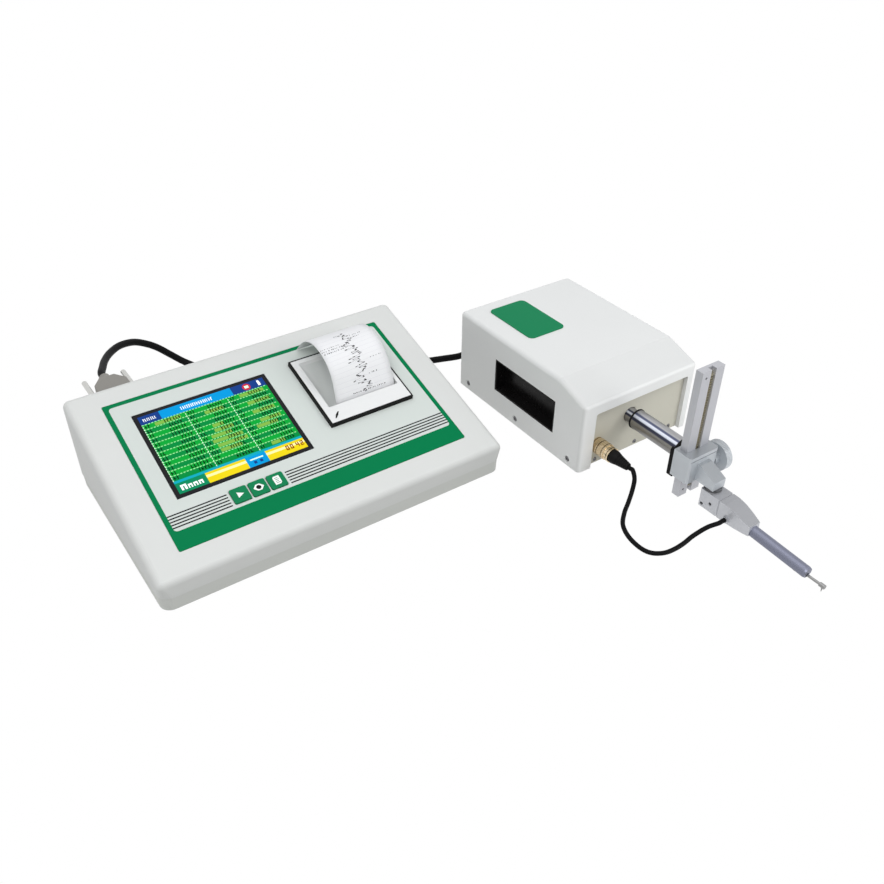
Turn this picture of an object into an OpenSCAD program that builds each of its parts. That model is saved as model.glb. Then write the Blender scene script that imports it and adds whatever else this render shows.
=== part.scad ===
// Surface roughness tester: sloping console with screen, keys and strip printer,
// and a drive unit that pulls a stylus pickup along a straight line.
// Millimetres, +Z up, the table at z = 0, the origin below the middle of the whole set.

/* [Layout] */
// Gap between the console and the drive unit
unit_gap = 50; // [20:1:120]
// How far the drive's front stands ahead of the console's front
drive_lead = 41; // [0:1:80]
// Height of the rubber feet
foot_h = 3; // [2:0.5:6]
// Diameter of the rubber feet
foot_d = 14; // [10:1:18]

/* [Console] */
// Width of the console
console_w = 300; // [290:1:340]
// Depth of the console
console_d = 185; // [180:1:220]
// Height of the top face at the front, above the base
front_h = 26; // [24:1:40]
// Slope of the top face in degrees
slope = 16.5; // [12:0.5:22]
// Height of the parting line above the base
split_h = 12; // [8:1:14]
// Plan radius of the console's corners
corner_r = 10; // [8:1:16]
// Radius of the rounded top edges
edge_r = 5.5; // [5:0.5:8]
// Wall of the console's shells
wall = 3; // [2.5:0.25:4]
// Step by which the base stands back under the top shell
base_step = 0.5; // [0.25:0.25:2]

/* [Front panel] */
// Width of the printed overlay
overlay_w = 250; // [240:1:270]
// Length of the overlay along the slope
overlay_l = 150; // [146:1:155]
// Thickness of the overlay
overlay_t = 0.6; // [0.4:0.1:1]
// Bare margin ahead of the overlay, along the slope
front_margin = 21; // [16:1:26]
// Width of the screen pane
screen_w = 114; // [100:1:118]
// Length of the screen pane along the slope
screen_l = 89; // [80:1:92]
// Left edge of the screen pane on the overlay
screen_u = 17; // [12:1:22]
// Front edge of the screen pane on the overlay
screen_v = 43; // [40:1:50]
// Thickness of the screen pane
pane_t = 2; // [1.5:0.25:2.5]
// Side of a square key
key_w = 13.5; // [10:0.5:14]
// Distance between the keys
key_pitch = 15.2; // [14.6:0.2:18]
// Middle of the left key on the overlay
key_u = 59.5; // [50:0.5:66]
// Middle of the keys above the overlay's front edge
key_v = 26.5; // [24:0.5:30]
// Travel of a key
key_travel = 0.8; // [0.4:0.1:1.2]

/* [Printer] */
// Width of the printer's frame
printer_w = 78.5; // [76:0.5:84]
// Length of the printer's frame along the slope
printer_l = 77; // [75:0.5:80]
// Left edge of the printer on the overlay
printer_u = 154; // [150:1:158]
// Front edge of the printer on the overlay
printer_v = 55.5; // [52:0.5:60]
// Depth of the printer's box below the top face
printer_depth = 40; // [38:1:42]
// Width of the paper
paper_w = 57; // [50:1:58]
// Thickness of the paper strip
paper_t = 0.3; // [0.2:0.05:0.5]
// Radius of the paper roll
roll_r = 11.5; // [9:0.5:12]
// Diameter of the platen roller
platen_d = 8; // [7:0.5:9]

/* [Drive unit] */
// Width of the drive's cover
drive_w = 130; // [126:1:150]
// Length of the drive's cover
drive_l = 174; // [172:1:200]
// Height of the cover above its lower edge
drive_h = 77.5; // [74:0.5:95]
// Height of the cover at its front edge
nose_h = 67.5; // [65:0.5:73]
// Length of the sloping front of the roof
nose_l = 35; // [28:1:50]
// Radius of the cover's rounded edges
cover_r = 4; // [4:0.5:6]
// Wall of the cover
cover_wall = 3.5; // [3:0.25:4]
// Width of the rim left of the front opening
rim_w = 14; // [12:0.5:14]
// Width of the rim right of the front opening
rim_right = 9; // [9:0.5:14]
// Height of the rim above the front opening
rim_h = 12; // [8:0.5:13]
// Depth of the rim, from its front to the front plate
rim_depth = 4; // [4:0.25:7]
// Length of the side window
window_l = 83; // [60:1:90]
// Height of the side window
window_h = 32.5; // [24:0.5:36]
// Distance of the side window from the cover's front
window_y = 36; // [30:1:44]
// Height of the side window above the cover's lower edge
window_z = 21; // [19:0.5:26]

/* [Traverse] */
// Middle of the drive rod from the cover's left side
rod_x = 58; // [54:0.5:60]
// Height of the drive rod above the table
rod_z = 40; // [39:0.5:43]
// Diameter of the drive rod
rod_d = 13; // [11:0.5:14]
// Diameter of the chrome sleeve on the rod
sleeve_d = 17.5; // [16:0.5:18]
// Distance from the cover's front to the sleeve
sleeve_gap = 5.5; // [4:0.5:8]
// Length of the sleeve up to the column
sleeve_l = 58.5; // [50:0.5:66]
// Travel of the rod outwards
travel_out = 38; // [20:1:38]
// Travel of the rod inwards
travel_in = 7; // [4:0.5:7]
// Diameter of the lead screw
screw_d = 8; // [6:0.5:10]

/* [Column and carriage] */
// Width of the column
column_w = 24; // [22:0.5:28]
// Thickness of the column
column_t = 7; // [6.5:0.25:10]
// Height of the column
column_h = 119; // [105:1:140]
// Width of the groove that holds the rack
groove_w = 5.2; // [4:0.2:6]
// Depth of the groove that holds the rack
groove_d = 4.25; // [4:0.05:4.4]
// Height of the carriage
carriage_h = 25; // [23:0.5:30]
// Height of the carriage's lower face above the table
carriage_z = 25; // [24:0.5:30]
// Thickness of the carriage's jaws
jaw_t = 4; // [3:0.25:6]
// Depth of the carriage ahead of the column
carriage_nose = 8.5; // [8:0.25:14]
// Tooth size (module) of the rack and its pinion
tooth_m = 0.75; // [0.7:0.01:0.78]
// Number of teeth on the pinion
pinion_teeth = 10; // [9:1:11]
// Diameter of the height knob
knob_d = 26; // [20:1:28]
// Thickness of the height knob
knob_t = 6.5; // [5:0.5:12]

/* [Pickup] */
// Width of the swivel arm
arm_w = 13; // [10:0.5:16]
// Length of the swivel arm
arm_l = 19; // [18:0.5:24]
// Width of the pickup holder
holder_w = 16; // [14:0.5:18]
// Length of the pickup holder
holder_l = 19.5; // [18:0.5:26]
// Height of the pickup holder
holder_h = 16.5; // [15:0.5:16.5]
// Length of the pickup's body
body_l = 30; // [26:0.5:40]
// Width of the pickup's body at its front end
body_front_w = 11.5; // [11:0.5:13]
// Diameter of the pickup tube
tube_d = 9.6; // [9:0.2:10.4]
// Length of the pickup tube ahead of its body
tube_l = 52; // [40:0.5:70]
// Downward tilt of the pickup tube in degrees
tube_tilt = 3.3; // [2:0.1:3.6]
// Diameter of the stylus arm
stylus_d = 2.2; // [1.6:0.1:2.6]
// Length of the stylus arm ahead of the tube
stylus_l = 15.5; // [12:0.5:20]

/* [Hidden] */
$fn = 48;
hull_fn = 32;
eps = 0.01;
// Radial clearance of a running fit
fit = 0.05;
// Gap round a loose part
gap = 0.3;

// Overall places: the origin lies below the middle of the set
sleeve_end = -(sleeve_gap + sleeve_l);
column_front = sleeve_end - column_t;
carriage_front = column_front - carriage_nose;
swivel_reach = 14;
swivel_y = carriage_front - swivel_reach;
holder_back = swivel_y + 5.5;
holder_front = holder_back - holder_l;
slit = 0.3;
body_back = holder_front - slit;
body_front = body_back - body_l;
nose_y = body_front - tube_l;
reach = -(nose_y - stylus_l);
total_w = console_w + unit_gap + drive_w;
total_d = reach + drive_lead + console_d;
console_x0 = -total_w / 2;
drive_x0 = console_x0 + console_w + unit_gap;
drive_y0 = reach - total_d / 2;
console_y0 = drive_y0 + drive_lead;

// Console
base_z = foot_h;
split_z = base_z + split_h;
top_z = base_z + front_h;
overlay_x = (console_w - overlay_w) / 2;
overlay_sink = overlay_t * 2 / 3;
overlay_corner = 1.5;
pane_ledge = 4;
module_t = 9;
post_d = 9;
post_inset = 17;
screw_shank = 3;
screw_head = 5.6;
screw_head_h = 2;
console_foot_x = 34;
console_foot_y = 29;
drive_foot_x = 28;
drive_foot_y = 32;
board_w = 120;
board_l = 130;
board_t = 1.6;
chip_x = 14;
chip_y = 80;
chip_w = 26;
chip_t = 3;
memory_x = 60;
memory_w = 18;
memory_l = 12;
cap_x = 92;
cap_pitch = 12;
cap_d = 8;
cap_h = 10;
board_x = 20;
board_y = 30;
board_stand = 5;
standoff_d = 6;
standoff_inset = 6;
key_corner = 1.5;
key_rise = 1.4;
key_flange = 1.2;
flange_t = 1.2;
switch_gap = 0.1;
switch_w = 6;
switch_h = 2.5;

// Printer, in overlay coordinates with n = 0 on the console's top face
face_seat = 2.2;
face_t = 1.8;
frame_rise = face_seat + face_t;
face_inset = 1.3;
box_inset = 2;
box_wall = 1.5;
slot_lead = 18.5;
slot_v = printer_v + slot_lead;
slot_w = 1.6;
paper_side = 15;
paper_u = printer_u + paper_side + paper_w / 2;
well_r = 55;
well_wall = 1.2;
well_margin = 5.5;
well_back_v = printer_v + printer_l - well_margin;
well_c = [slot_v + 14, 42.5];
well_lead = 7;
well_u = printer_u + well_lead;
well_w = printer_w - well_lead - box_inset - box_wall - well_wall - fit;
platen_n = -19;
platen_shaft = 4;
nip_gap = 0.2;
head_t = 5;
head_h = 9;
roll_core = 8;
roll_back = 34;
arch_r = 39;
arch_sink = 9;
arch_reach = 38;

// Rear connectors
socket_x = 46;
socket_z = 63.5;
thumb_pitch = 33.3;
shell_gap = 5.3;
shell_w = thumb_pitch - shell_gap;
shell_h = 9;
socket_depth = 12;
flange_margin = 2.85;
flange_w = thumb_pitch + 2 * flange_margin;
flange_tall = 12;
hood_margin = 3.35;
hood_w = thumb_pitch + 2 * hood_margin;
hood_h = 15;
hood_l = 44;
plug_flange = 5;
relief_l = 10;
thumb_screw = 3;
thumb_d = 4.5;
thumb_l = 40;
power_x = 222;
power_z = 32;
inlet_w = 27;
inlet_h = 20;
inlet_depth = 16;
switch_room = 18;
rocker_w = 11;
rocker_h = 16.6;
rocker_t = 9;
trunnion_d = 3;
trunnion_l = 1.5;
rocker_x = power_x + inlet_w + switch_room / 2 - 1;

// Drive
cover_z = foot_h;
roof_z = cover_z + drive_h;
inner_r = 1.5;
base_t = 3;
floor_z = cover_z + base_t;
flange_h = 12;
flange_wall = 2;
plate_t = 4;
plate_y = rim_depth;
plate_lap = 4;
plate_back_y = plate_y + plate_t + 2 * fit;
front_flange_h = 8;
front_flange_t = 4;
opening_z = cover_z + nose_h - rim_h;
opening_r = 2;
cover_screw_ys = [15, 87, 159];
cover_screw_z = cover_z + 6.5;
small_screw = 3;
small_head = 5.5;
small_head_h = 1.6;
front_screw_z = cover_z + 4;
front_screw_l = 7;
front_screw_xs = [rim_w + 8, drive_w / 2 + 4, drive_w - rim_right - 10];
pane_lap = 3;
pane_flange = 2;
window_wall = 1.5;
window_depth = 12;
window_sink = 0.4;
plate_w = 40;
plate_l = 62;
plate_x = 21;
plate_back = 15;
plate_sheet = 0.8;
plate_corner = 5;
bush_d = 20;
bush_flange = 24;
bush_flange_t = 2;
bush_l = 12;
bush_lip = 1.5;
rod_room = 0.5;
support_y = 55;
support_t = 12;
support_w = 62;
support_top = rod_z + 15;
nut_t = 12;
rod_back = support_y + support_t + travel_out + nut_t + 8;
lead_x = 28;
motor_y = rod_back + travel_in + 2;
motor_d = 34;
motor_l = 24;
motor_plate = 4;
journal_d = 5;
ring_t = 1.5;
ring_d = sleeve_d + 0.8;
spigot = 2;

// Column, rack and carriage
column_z = 5;
rack_sink = 1.2;
rack_margin = 4;
rack_pitch = PI * tooth_m;
addendum = 0.8 * tooth_m;
dedendum = 1.25 * tooth_m;
pitch_r = pinion_teeth * tooth_m / 2;
rack_tip_y = column_front + rack_sink;
pinion_y = rack_tip_y + addendum - pitch_r;
pinion_rise = 8.8;
pinion_z = carriage_z + pinion_rise;
pinion_w = groove_w - 0.8;
pinion_room = 0.4;
shaft_d = 3.6;
rack_screw_d = 2;
rack_screw_x = -(column_w + groove_w) / 4;
rack_screw_zs = [column_z + 6, column_z + column_h - 6];
lip_w = 3;
lip_t = 2.5;
carriage_corner = 2.5;
knob_gap = 6;
knurls = 60;
knurl_r = 0.5;
lever_w = 4.5;
lever_t = 5;
lever_ring_d = sleeve_d + 3;
lever_y = sleeve_end + lip_t + 0.6;
lever_x = -(sleeve_d / 2 + 0.3 + lever_w / 2);
lever_up = 5;
lever_down = 18;

// Arm, holder, pickup
arm_rise = 1.6;
arm_z = carriage_z + arm_rise;
arm_back_h = 15.5;
arm_front_h = 8;
disc_t = 1.9;
disc_d = 14;
pin_d = 5;
holder_top = arm_z - disc_t - gap;
holder_z = holder_top - holder_h;
pin_low = holder_top - 11;
pin_high = arm_z + 5.5;
set_screw_d = 3;
set_screw_l = 4;
set_screws = [[holder_front + 8, holder_z + 7.5], [holder_back - 3.5, holder_z + 3]];
body_front_h = 9.5;
tube_z = holder_z + 3.2;
tube_wall = 0.8;
nose_wall = 2;
stylus_drop = 2;
stylus_room = 0.6;
tube_seat = 10;
nose_bevel = 0.5;
stylus_z = tube_z - tube_l * sin(tube_tilt) - stylus_drop;
stylus_pivot_y = nose_y + 9;
tip_z = 0.7;
tip_r = 0.25;
tip_back = 2;
collar_d = 3.6;
collar_l = 4.5;
cross_pin_d = 1.5;
cable_entry = [-(holder_w / 2 + 1.5), body_back - 9, holder_z + 4];
entry_boss_d = 6;

// Front connector
jack_x = 22;
jack_z = 23;
jack_d = 12;
jack_l = 9;
jack_nut_d = 14;
jack_nut_t = 3;
ring_l = 17;
plug_d = 14.5;
boot_l = 19;
boot_d0 = 12;
boot_d1 = 6.5;
gland_x = 75;
gland_z = 21;
gland_d = 12;
gland_l = 9;

// Cords
link_d = 7.5;
pickup_cord_d = 3.8;
cord_steps = 2;
// Link cable: points from the plug behind the console, then points from the gland behind the drive
link_start = [console_x0 + socket_x, console_y0 + console_d + hood_l, socket_z];
link_end = [drive_x0 + gland_x, drive_y0 + drive_l + gland_l, gland_z];
link_from_plug = [
    [0, 0, 0], [0, 6, 0], [0, 12, 0], [2, 22, -0.5], [7, 42, -1.5], [16, 60, -3.5], [28, 75, -8],
    [44, 87, -14], [60, 91, -22], [74, 90, -31], [87, 85, -41], [100, 76, -52],
    [112, 64, -59.5], [124, 50, -59.5], [142, 30, -59.5], [176, 8, -59.5]
];
link_to_gland = [
    [-165, 63, -17], [-125, 52, -17], [-90, 42, -17], [-65, 34, -17], [-48, 29, -17], [-34, 29, -16],
    [-20, 31, -12], [-7, 27, -5], [0, 15, 0], [0, 7, 0], [0, 0, 0]
];
link_route = concat([for (p = link_from_plug) link_start + p], [for (p = link_to_gland) link_end + p]);
// Pickup cable: points from the plug on the drive's front, then points from the pickup's body
boot_end = [drive_x0 + jack_x, drive_y0 + plate_y + fit - jack_nut_t - ring_l - boot_l, jack_z];
pickup_start = boot_end;
pickup_end = [drive_x0 + rod_x, drive_y0, 0] + cable_entry;
from_boot = [
    [0, 0, 0], [0, -2.5, 0], [0, -5, 0], [-2, -10, -5], [-6, -13, -13],
    [-13, -17, -19.5], [-24, -24, -21], [-35, -34, -21], [-41, -47, -21]
];
to_pickup = [
    [-69, 21, -9.8], [-66, 12, -9.8], [-58, 6.5, -9.8], [-48, 5, -9.8], [-37, 5.5, -9.6],
    [-27, 6, -7.5], [-16, 3, -2], [-7, 0, 0], [-3.5, 0, 0], [0, 0, 0]
];
pickup_route = concat([for (p = from_boot) pickup_start + p], [for (p = to_pickup) pickup_end + p]);
pickup_split = [0, 12, 24, 36];

// Helpers

// Rectangle with round corners, from the origin
module rounded_rect(w, l, r) {
    translate([r, 0]) square([w - 2 * r, l]);
    translate([0, r]) square([w, l - 2 * r]);
    for (x = [r, w - r], y = [r, l - r]) translate([x, y]) circle(r);
}

// Plate with round corners, its lower face at z
module plate(w, l, r, t, z = 0) {
    translate([0, 0, z]) linear_extrude(t) rounded_rect(w, l, r);
}

// Cylinder along +Y from the given point
module bar_y(d, l, p = [0, 0, 0]) {
    translate(p) rotate([-90, 0, 0]) cylinder(d = d, h = l);
}

// Cylinder along +X from the given point
module bar_x(d, l, p = [0, 0, 0]) {
    translate(p) rotate([0, 90, 0]) cylinder(d = d, h = l);
}

module at_console() {
    translate([console_x0, console_y0, 0]) children();
}

// Overlay coordinates: x to the right, y up the slope, z out of the top face
module at_panel() {
    at_console() translate([0, 0, top_z]) rotate([slope, 0, 0])
        translate([overlay_x, front_margin, 0]) children();
}

// Side profiles on the panel are drawn as (v, n) and run along u
module panel_profile(u, w) {
    translate([u, 0, 0]) rotate([90, 0, 90]) linear_extrude(w) children();
}

module at_drive() {
    translate([drive_x0, drive_y0, 0]) children();
}

// Drive coordinates with x measured from the rod's middle
module at_rod() {
    at_drive() translate([rod_x, 0, 0]) children();
}

// Side profiles on the drive are drawn as (y, z) and run along x
module drive_profile(x, w) {
    translate([x, 0, 0]) rotate([90, 0, 90]) linear_extrude(w) children();
}

// Screw with a domed head along -Z, the head's seat at the origin
module pan_screw(d, l, head_d, head_h) {
    translate([0, 0, -l]) cylinder(d = d, h = l);
    difference() {
        cylinder(d1 = head_d, d2 = head_d * 0.7, h = head_h);
        translate([0, 0, head_h * 0.4]) cylinder(d = head_d * 0.36, h = head_h, $fn = 6);
    }
}

// Smooth curve through hand-chosen points
function spline_point(p, i, t) =
    let(a = p[max(i - 1, 0)], b = p[i], c = p[i + 1], d = p[min(i + 2, len(p) - 1)])
    0.5 * (2 * b + (c - a) * t + (2 * a - 5 * b + 4 * c - d) * t * t + (3 * b - a - 3 * c + d) * t * t * t);
function smooth_route(p, steps) = concat(
    [for (i = [0:len(p) - 2], k = [0:steps - 1]) spline_point(p, i, k / steps)], [p[len(p) - 1]]);
function unit(v) = v / norm(v);

// Tube swept along the points of a route from one index to another
module cord(p, d, sides, first, end) {
    last = end - first;
    rings = [for (i = [first:end])
        let(t = unit(p[min(i + 1, len(p) - 1)] - p[max(i - 1, 0)]))
        let(s = unit(cross(t, [0, 0, 1])), u = cross(s, t))
        for (k = [0:sides - 1]) p[i] + d / 2 * (s * cos(360 * k / sides) + u * sin(360 * k / sides))];
    skin = [for (i = [0:last - 1], k = [0:sides - 1])
        let(a = i * sides + k, b = i * sides + (k + 1) % sides) [a, b, b + sides, a + sides]];
    start = [for (k = [0:sides - 1]) sides - 1 - k];
    finish = [for (k = [0:sides - 1]) last * sides + k];
    polyhedron(rings, concat([start], [finish], skin), convexity = 10);
}

// Console

// Height of the console's top face at a depth y
function top_at(y) = top_z + y * tan(slope);

// The wedge of the console, shrunk by the wall for its inside
module console_wedge(inset) {
    ball = edge_r - inset;
    post = corner_r - inset;
    hull() {
        for (x = [edge_r, console_w - edge_r], y = [edge_r, console_d - edge_r])
            translate([x, y, top_at(y) - edge_r / cos(slope)]) sphere(ball, $fn = hull_fn);
        for (x = [corner_r, console_w - corner_r], y = [corner_r, console_d - corner_r])
            translate([x, y, split_z - (inset > 0 ? 1 : 0)]) cylinder(r = post, h = 1 + inset, $fn = hull_fn);
    }
}

module console_posts(d, z, h) {
    for (x = [post_inset, console_w - post_inset], y = [post_inset, console_d - post_inset])
        translate([x, y, z]) cylinder(d = d, h = h);
}

module key_holes(side, z, h) {
    for (i = [0:2])
        translate([key_u + i * key_pitch - side / 2, key_v - side / 2, z]) plate(side, side, key_corner, h);
}

module console_top() {
    color("gainsboro") difference() {
        at_console() difference() {
            console_wedge(0);
            difference() {
                console_wedge(wall);
                console_posts(post_d, split_z, console_d);
            }
            translate([-1, -1, 0]) cube([console_w + 2, console_d + 2, split_z]);
            console_posts(screw_shank + 2 * fit, split_z - 1, 9);
            link_cutout();
            power_cutout();
        }
        at_panel() {
            translate([-gap, -gap, 0])
                plate(overlay_w + 2 * gap, overlay_l + 2 * gap, overlay_corner, wall, -overlay_sink);
            translate([screen_u - gap, screen_v - gap, 0])
                plate(screen_w + 2 * gap, screen_l + 2 * gap, 1, wall, -pane_t);
            translate([screen_u + pane_ledge, screen_v + pane_ledge, 0])
                plate(screen_w - 2 * pane_ledge, screen_l - 2 * pane_ledge, 1, 3 * wall, -2 * wall);
            translate([printer_u + box_inset - gap, printer_v + box_inset - gap, -3 * wall])
                cube([printer_w - 2 * box_inset + 2 * gap, printer_l - 2 * box_inset + 2 * gap, 4 * wall]);
            key_holes(key_w + 2 * gap, -2 * wall, 3 * wall);
        }
    }
}

// Cut-outs of the console's back wall
module link_cutout() {
    translate([socket_x - shell_w / 2 - gap, console_d - 2 * wall, socket_z - shell_h / 2 - gap])
        cube([shell_w + 2 * gap, 3 * wall, shell_h + 2 * gap]);
    for (s = [-1, 1]) bar_y(thumb_screw + 2 * gap, 3 * wall,
        [socket_x + s * thumb_pitch / 2, console_d - 2 * wall, socket_z]);
}

module power_cutout() {
    translate([power_x - gap, console_d - 2 * wall, power_z - inlet_h / 2 - gap])
        cube([inlet_w + switch_room + 2 * gap, 3 * wall, inlet_h + 2 * gap]);
}

// Tray of the base, tapering in towards the table
module base_tray(inset, z0, z1) {
    hull() {
        for (x = [corner_r, console_w - corner_r], y = [corner_r, console_d - corner_r]) {
            translate([x, y, z1 - 1]) cylinder(r = corner_r - base_step - inset, h = 1, $fn = hull_fn);
            translate([x, y, z0]) cylinder(r = corner_r - 2 * base_step - inset, h = 1, $fn = hull_fn);
        }
    }
}

module board_standoffs() {
    for (x = [standoff_inset, board_w - standoff_inset], y = [standoff_inset, board_l - standoff_inset])
        translate([board_x + x, board_y + y, base_z + wall - eps])
            cylinder(d = standoff_d, h = board_stand + eps);
}

module console_base() {
    color("lightgray") at_console() difference() {
        union() {
            difference() {
                base_tray(0, base_z, split_z);
                difference() {
                    base_tray(wall, base_z + wall, split_z + 1);
                    console_posts(post_d, base_z, split_h);
                }
            }
            board_standoffs();
        }
        console_posts(screw_shank + 2 * fit, base_z - 1, split_h + 2);
        console_posts(screw_head + 2 * fit, base_z - 1, screw_head_h + 2);
    }
}

module console_screws() {
    color("silver") at_console()
        for (x = [post_inset, console_w - post_inset], y = [post_inset, console_d - post_inset])
            translate([x, y, base_z + screw_head_h + 1]) mirror([0, 0, 1])
                pan_screw(screw_shank, split_h + 3, screw_head, screw_head_h);
}

// Eight like feet, four under each unit
module rubber_feet() {
    color("dimgray") {
        at_console() four_feet(console_w, console_d, console_foot_x, console_foot_y);
        at_drive() four_feet(drive_w, drive_l, drive_foot_x, drive_foot_y);
    }
}

module four_feet(w, l, inset_x, inset_y) {
    for (x = [inset_x, w - inset_x], y = [inset_y, l - inset_y])
        translate([x, y, 0]) cylinder(d1 = foot_d - 1.5, d2 = foot_d, h = foot_h);
}

module overlay() {
    color("whitesmoke") at_panel() difference() {
        plate(overlay_w, overlay_l, overlay_corner, overlay_t, -overlay_sink);
        translate([screen_u - gap, screen_v - gap, -1])
            cube([screen_w + 2 * gap, screen_l + 2 * gap, 3]);
        translate([printer_u - gap, printer_v - gap, -1])
            cube([printer_w + 2 * gap, printer_l + 2 * gap, 3]);
        key_holes(key_w + 2 * gap, -1, 3);
    }
}

module screen_window() {
    color("black") at_panel() translate([screen_u, screen_v, 0])
        plate(screen_w, screen_l, 1, pane_t + overlay_t - overlay_sink, -pane_t);
}

module screen_module() {
    color("seagreen") at_panel() translate([screen_u - 2, screen_v - 2, -wall - module_t]) {
        cube([screen_w + 4, screen_l + 4, module_t]);
        translate([2 + pane_ledge + gap, 2 + pane_ledge + gap, module_t])
            cube([screen_w - 2 * pane_ledge - 2 * gap, screen_l - 2 * pane_ledge - 2 * gap, wall - pane_t]);
    }
}

module main_board() {
    color("darkgreen") at_console() translate([board_x, board_y, base_z + wall + board_stand]) {
        cube([board_w, board_l, board_t]);
        translate([chip_x, chip_y, board_t]) cube([chip_w, chip_w, chip_t]);
        translate([memory_x, chip_y, board_t]) cube([memory_w, memory_l, chip_t]);
        for (i = [0:3]) translate([cap_x, chip_y + cap_pitch * (i - 0.5), board_t])
            cylinder(d = cap_d, h = cap_h);
    }
}

// Small board under the keys, hung from the top shell on two pillars
module key_board() {
    switch_top = -wall - flange_t - key_travel - switch_gap;
    board_top = switch_top - switch_h;
    pillar = 5;
    u0 = key_u - key_pitch;
    length = 4 * key_pitch;
    color("darkgreen") at_panel() {
        translate([u0, key_v - key_w / 2, board_top - board_t]) cube([length, key_w, board_t]);
        for (i = [0:2])
            translate([key_u + i * key_pitch - switch_w / 2, key_v - switch_w / 2, board_top - eps])
                cube([switch_w, switch_w, switch_h + eps]);
        for (u = [u0 + pillar / 2, u0 + length - pillar / 2])
            translate([u, key_v, board_top - eps]) cylinder(d = pillar, h = -wall - board_top + eps);
    }
}

module key_cap(i) {
    u = key_u + i * key_pitch;
    color("green") at_panel() {
        translate([u - key_w / 2, key_v - key_w / 2, 0])
            plate(key_w, key_w, key_corner, wall + key_rise, -wall);
        wide = min(key_w + 2 * key_flange, key_pitch - gap);
        translate([u - wide / 2, key_v - wide / 2, 0])
            plate(wide, wide, key_corner, flange_t, -wall - flange_t);
    }
}

module key_left() { key_cap(0); }
module key_middle() { key_cap(1); }
module key_right() { key_cap(2); }

// Printer

// Black frame with the box that holds the roll
module printer_frame() {
    box_w = printer_w - 2 * box_inset;
    box_l = printer_l - 2 * box_inset;
    inner = box_inset + box_wall;
    color("black") at_panel() difference() {
        union() {
            translate([printer_u, printer_v, -overlay_sink])
                cube([printer_w, printer_l, frame_rise + overlay_sink]);
            translate([printer_u + box_inset, printer_v + box_inset, -printer_depth])
                cube([box_w, box_l, printer_depth + eps]);
        }
        translate([printer_u + inner, printer_v + inner, box_wall - printer_depth])
            cube([box_w - 2 * box_wall, box_l - 2 * box_wall, printer_depth + frame_rise]);
        translate([printer_u + face_inset - fit, printer_v + face_inset - fit, face_seat])
            cube([printer_w - 2 * (face_inset - fit), printer_l - 2 * (face_inset - fit), 2 * face_t]);
        bar_x(platen_shaft + 2 * fit, printer_w, [printer_u, slot_v - nip_gap - platen_d / 2, platen_n]);
    }
}

// White face with the hollow that runs down to the paper slot
module printer_face() {
    u0 = printer_u + face_inset;
    v0 = printer_v + face_inset;
    w = printer_w - 2 * face_inset;
    l = printer_l - 2 * face_inset;
    color("white") at_panel() {
        difference() {
            translate([u0, v0, face_seat]) cube([w, l, face_t]);
            translate([well_u, slot_v - slot_w / 2, 0])
                cube([well_w, well_back_v - slot_v + slot_w / 2, frame_rise + 1]);
        }
        panel_profile(well_u, well_w) well_floor();
        for (u = [well_u - well_wall, well_u + well_w]) panel_profile(u, well_wall) well_cheek();
    }
}

module well_window() {
    translate([slot_v + slot_w / 2, -printer_depth])
        square([well_back_v - slot_v - slot_w / 2, printer_depth + frame_rise]);
}

module well_floor() {
    intersection() {
        difference() {
            translate(well_c) circle(well_r + well_wall);
            translate(well_c) circle(well_r);
        }
        well_window();
    }
}

module well_cheek() {
    intersection() {
        translate(well_c) circle(well_r + well_wall);
        well_window();
        translate([slot_v, -printer_depth]) square([printer_l, printer_depth + face_seat + eps]);
    }
}

module print_head() {
    side = box_inset + box_wall;
    color("slategray") at_panel()
        translate([printer_u + side, slot_v + nip_gap, platen_n - head_h / 2])
            cube([printer_w - 2 * side, head_t, head_h - 3]);
}

module platen_roller() {
    side = box_inset + box_wall + gap;
    at_panel() translate([printer_u, slot_v - nip_gap - platen_d / 2, platen_n]) {
        color("dimgray") bar_x(platen_d, printer_w - 2 * side, [side, 0, 0]);
        bar_x(platen_shaft, printer_w - 2 * box_inset - 1, [box_inset + 0.5, 0, 0]);
    }
}

module paper_roll() {
    color("white") at_panel()
        translate([paper_u - paper_w / 2, slot_v + roll_back, box_wall - printer_depth + roll_r + fit])
            difference() {
                bar_x(2 * roll_r, paper_w);
                bar_x(roll_core, paper_w + 2, [-1, 0, 0]);
            }
}

// Strip of paper that stands out of the slot and arches back over the frame
module paper_strip() {
    color("white") at_panel() panel_profile(paper_u - paper_w / 2, paper_w) {
        rest = overlay_t - overlay_sink + fit;
        intersection() {
            translate([slot_v + arch_reach, -arch_sink]) difference() {
                circle(arch_r + paper_t / 2);
                circle(arch_r - paper_t / 2);
            }
            union() {
                translate([slot_v - 5, platen_n / 2]) square([arch_reach, 2 * arch_r]);
                translate([slot_v + 20, rest]) square([overlay_l, 2 * arch_r]);
            }
        }
    }
}

// Rear connectors

module link_socket() {
    socket_y = console_d - wall - socket_depth;
    color("silver") at_console() {
        translate([socket_x - shell_w / 2, console_d - wall, socket_z - shell_h / 2]) difference() {
            cube([shell_w, wall, shell_h]);
            translate([1, -1, 1]) cube([shell_w - 2, wall + 2, shell_h - 2]);
        }
        translate([socket_x - flange_w / 2, socket_y, socket_z - flange_tall / 2]) difference() {
            cube([flange_w, socket_depth, flange_tall]);
            for (s = [-1, 1])
                bar_y(thumb_screw + 2 * fit, socket_depth + 2,
                    [flange_w / 2 + s * thumb_pitch / 2, -1, flange_tall / 2]);
        }
    }
}

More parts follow.
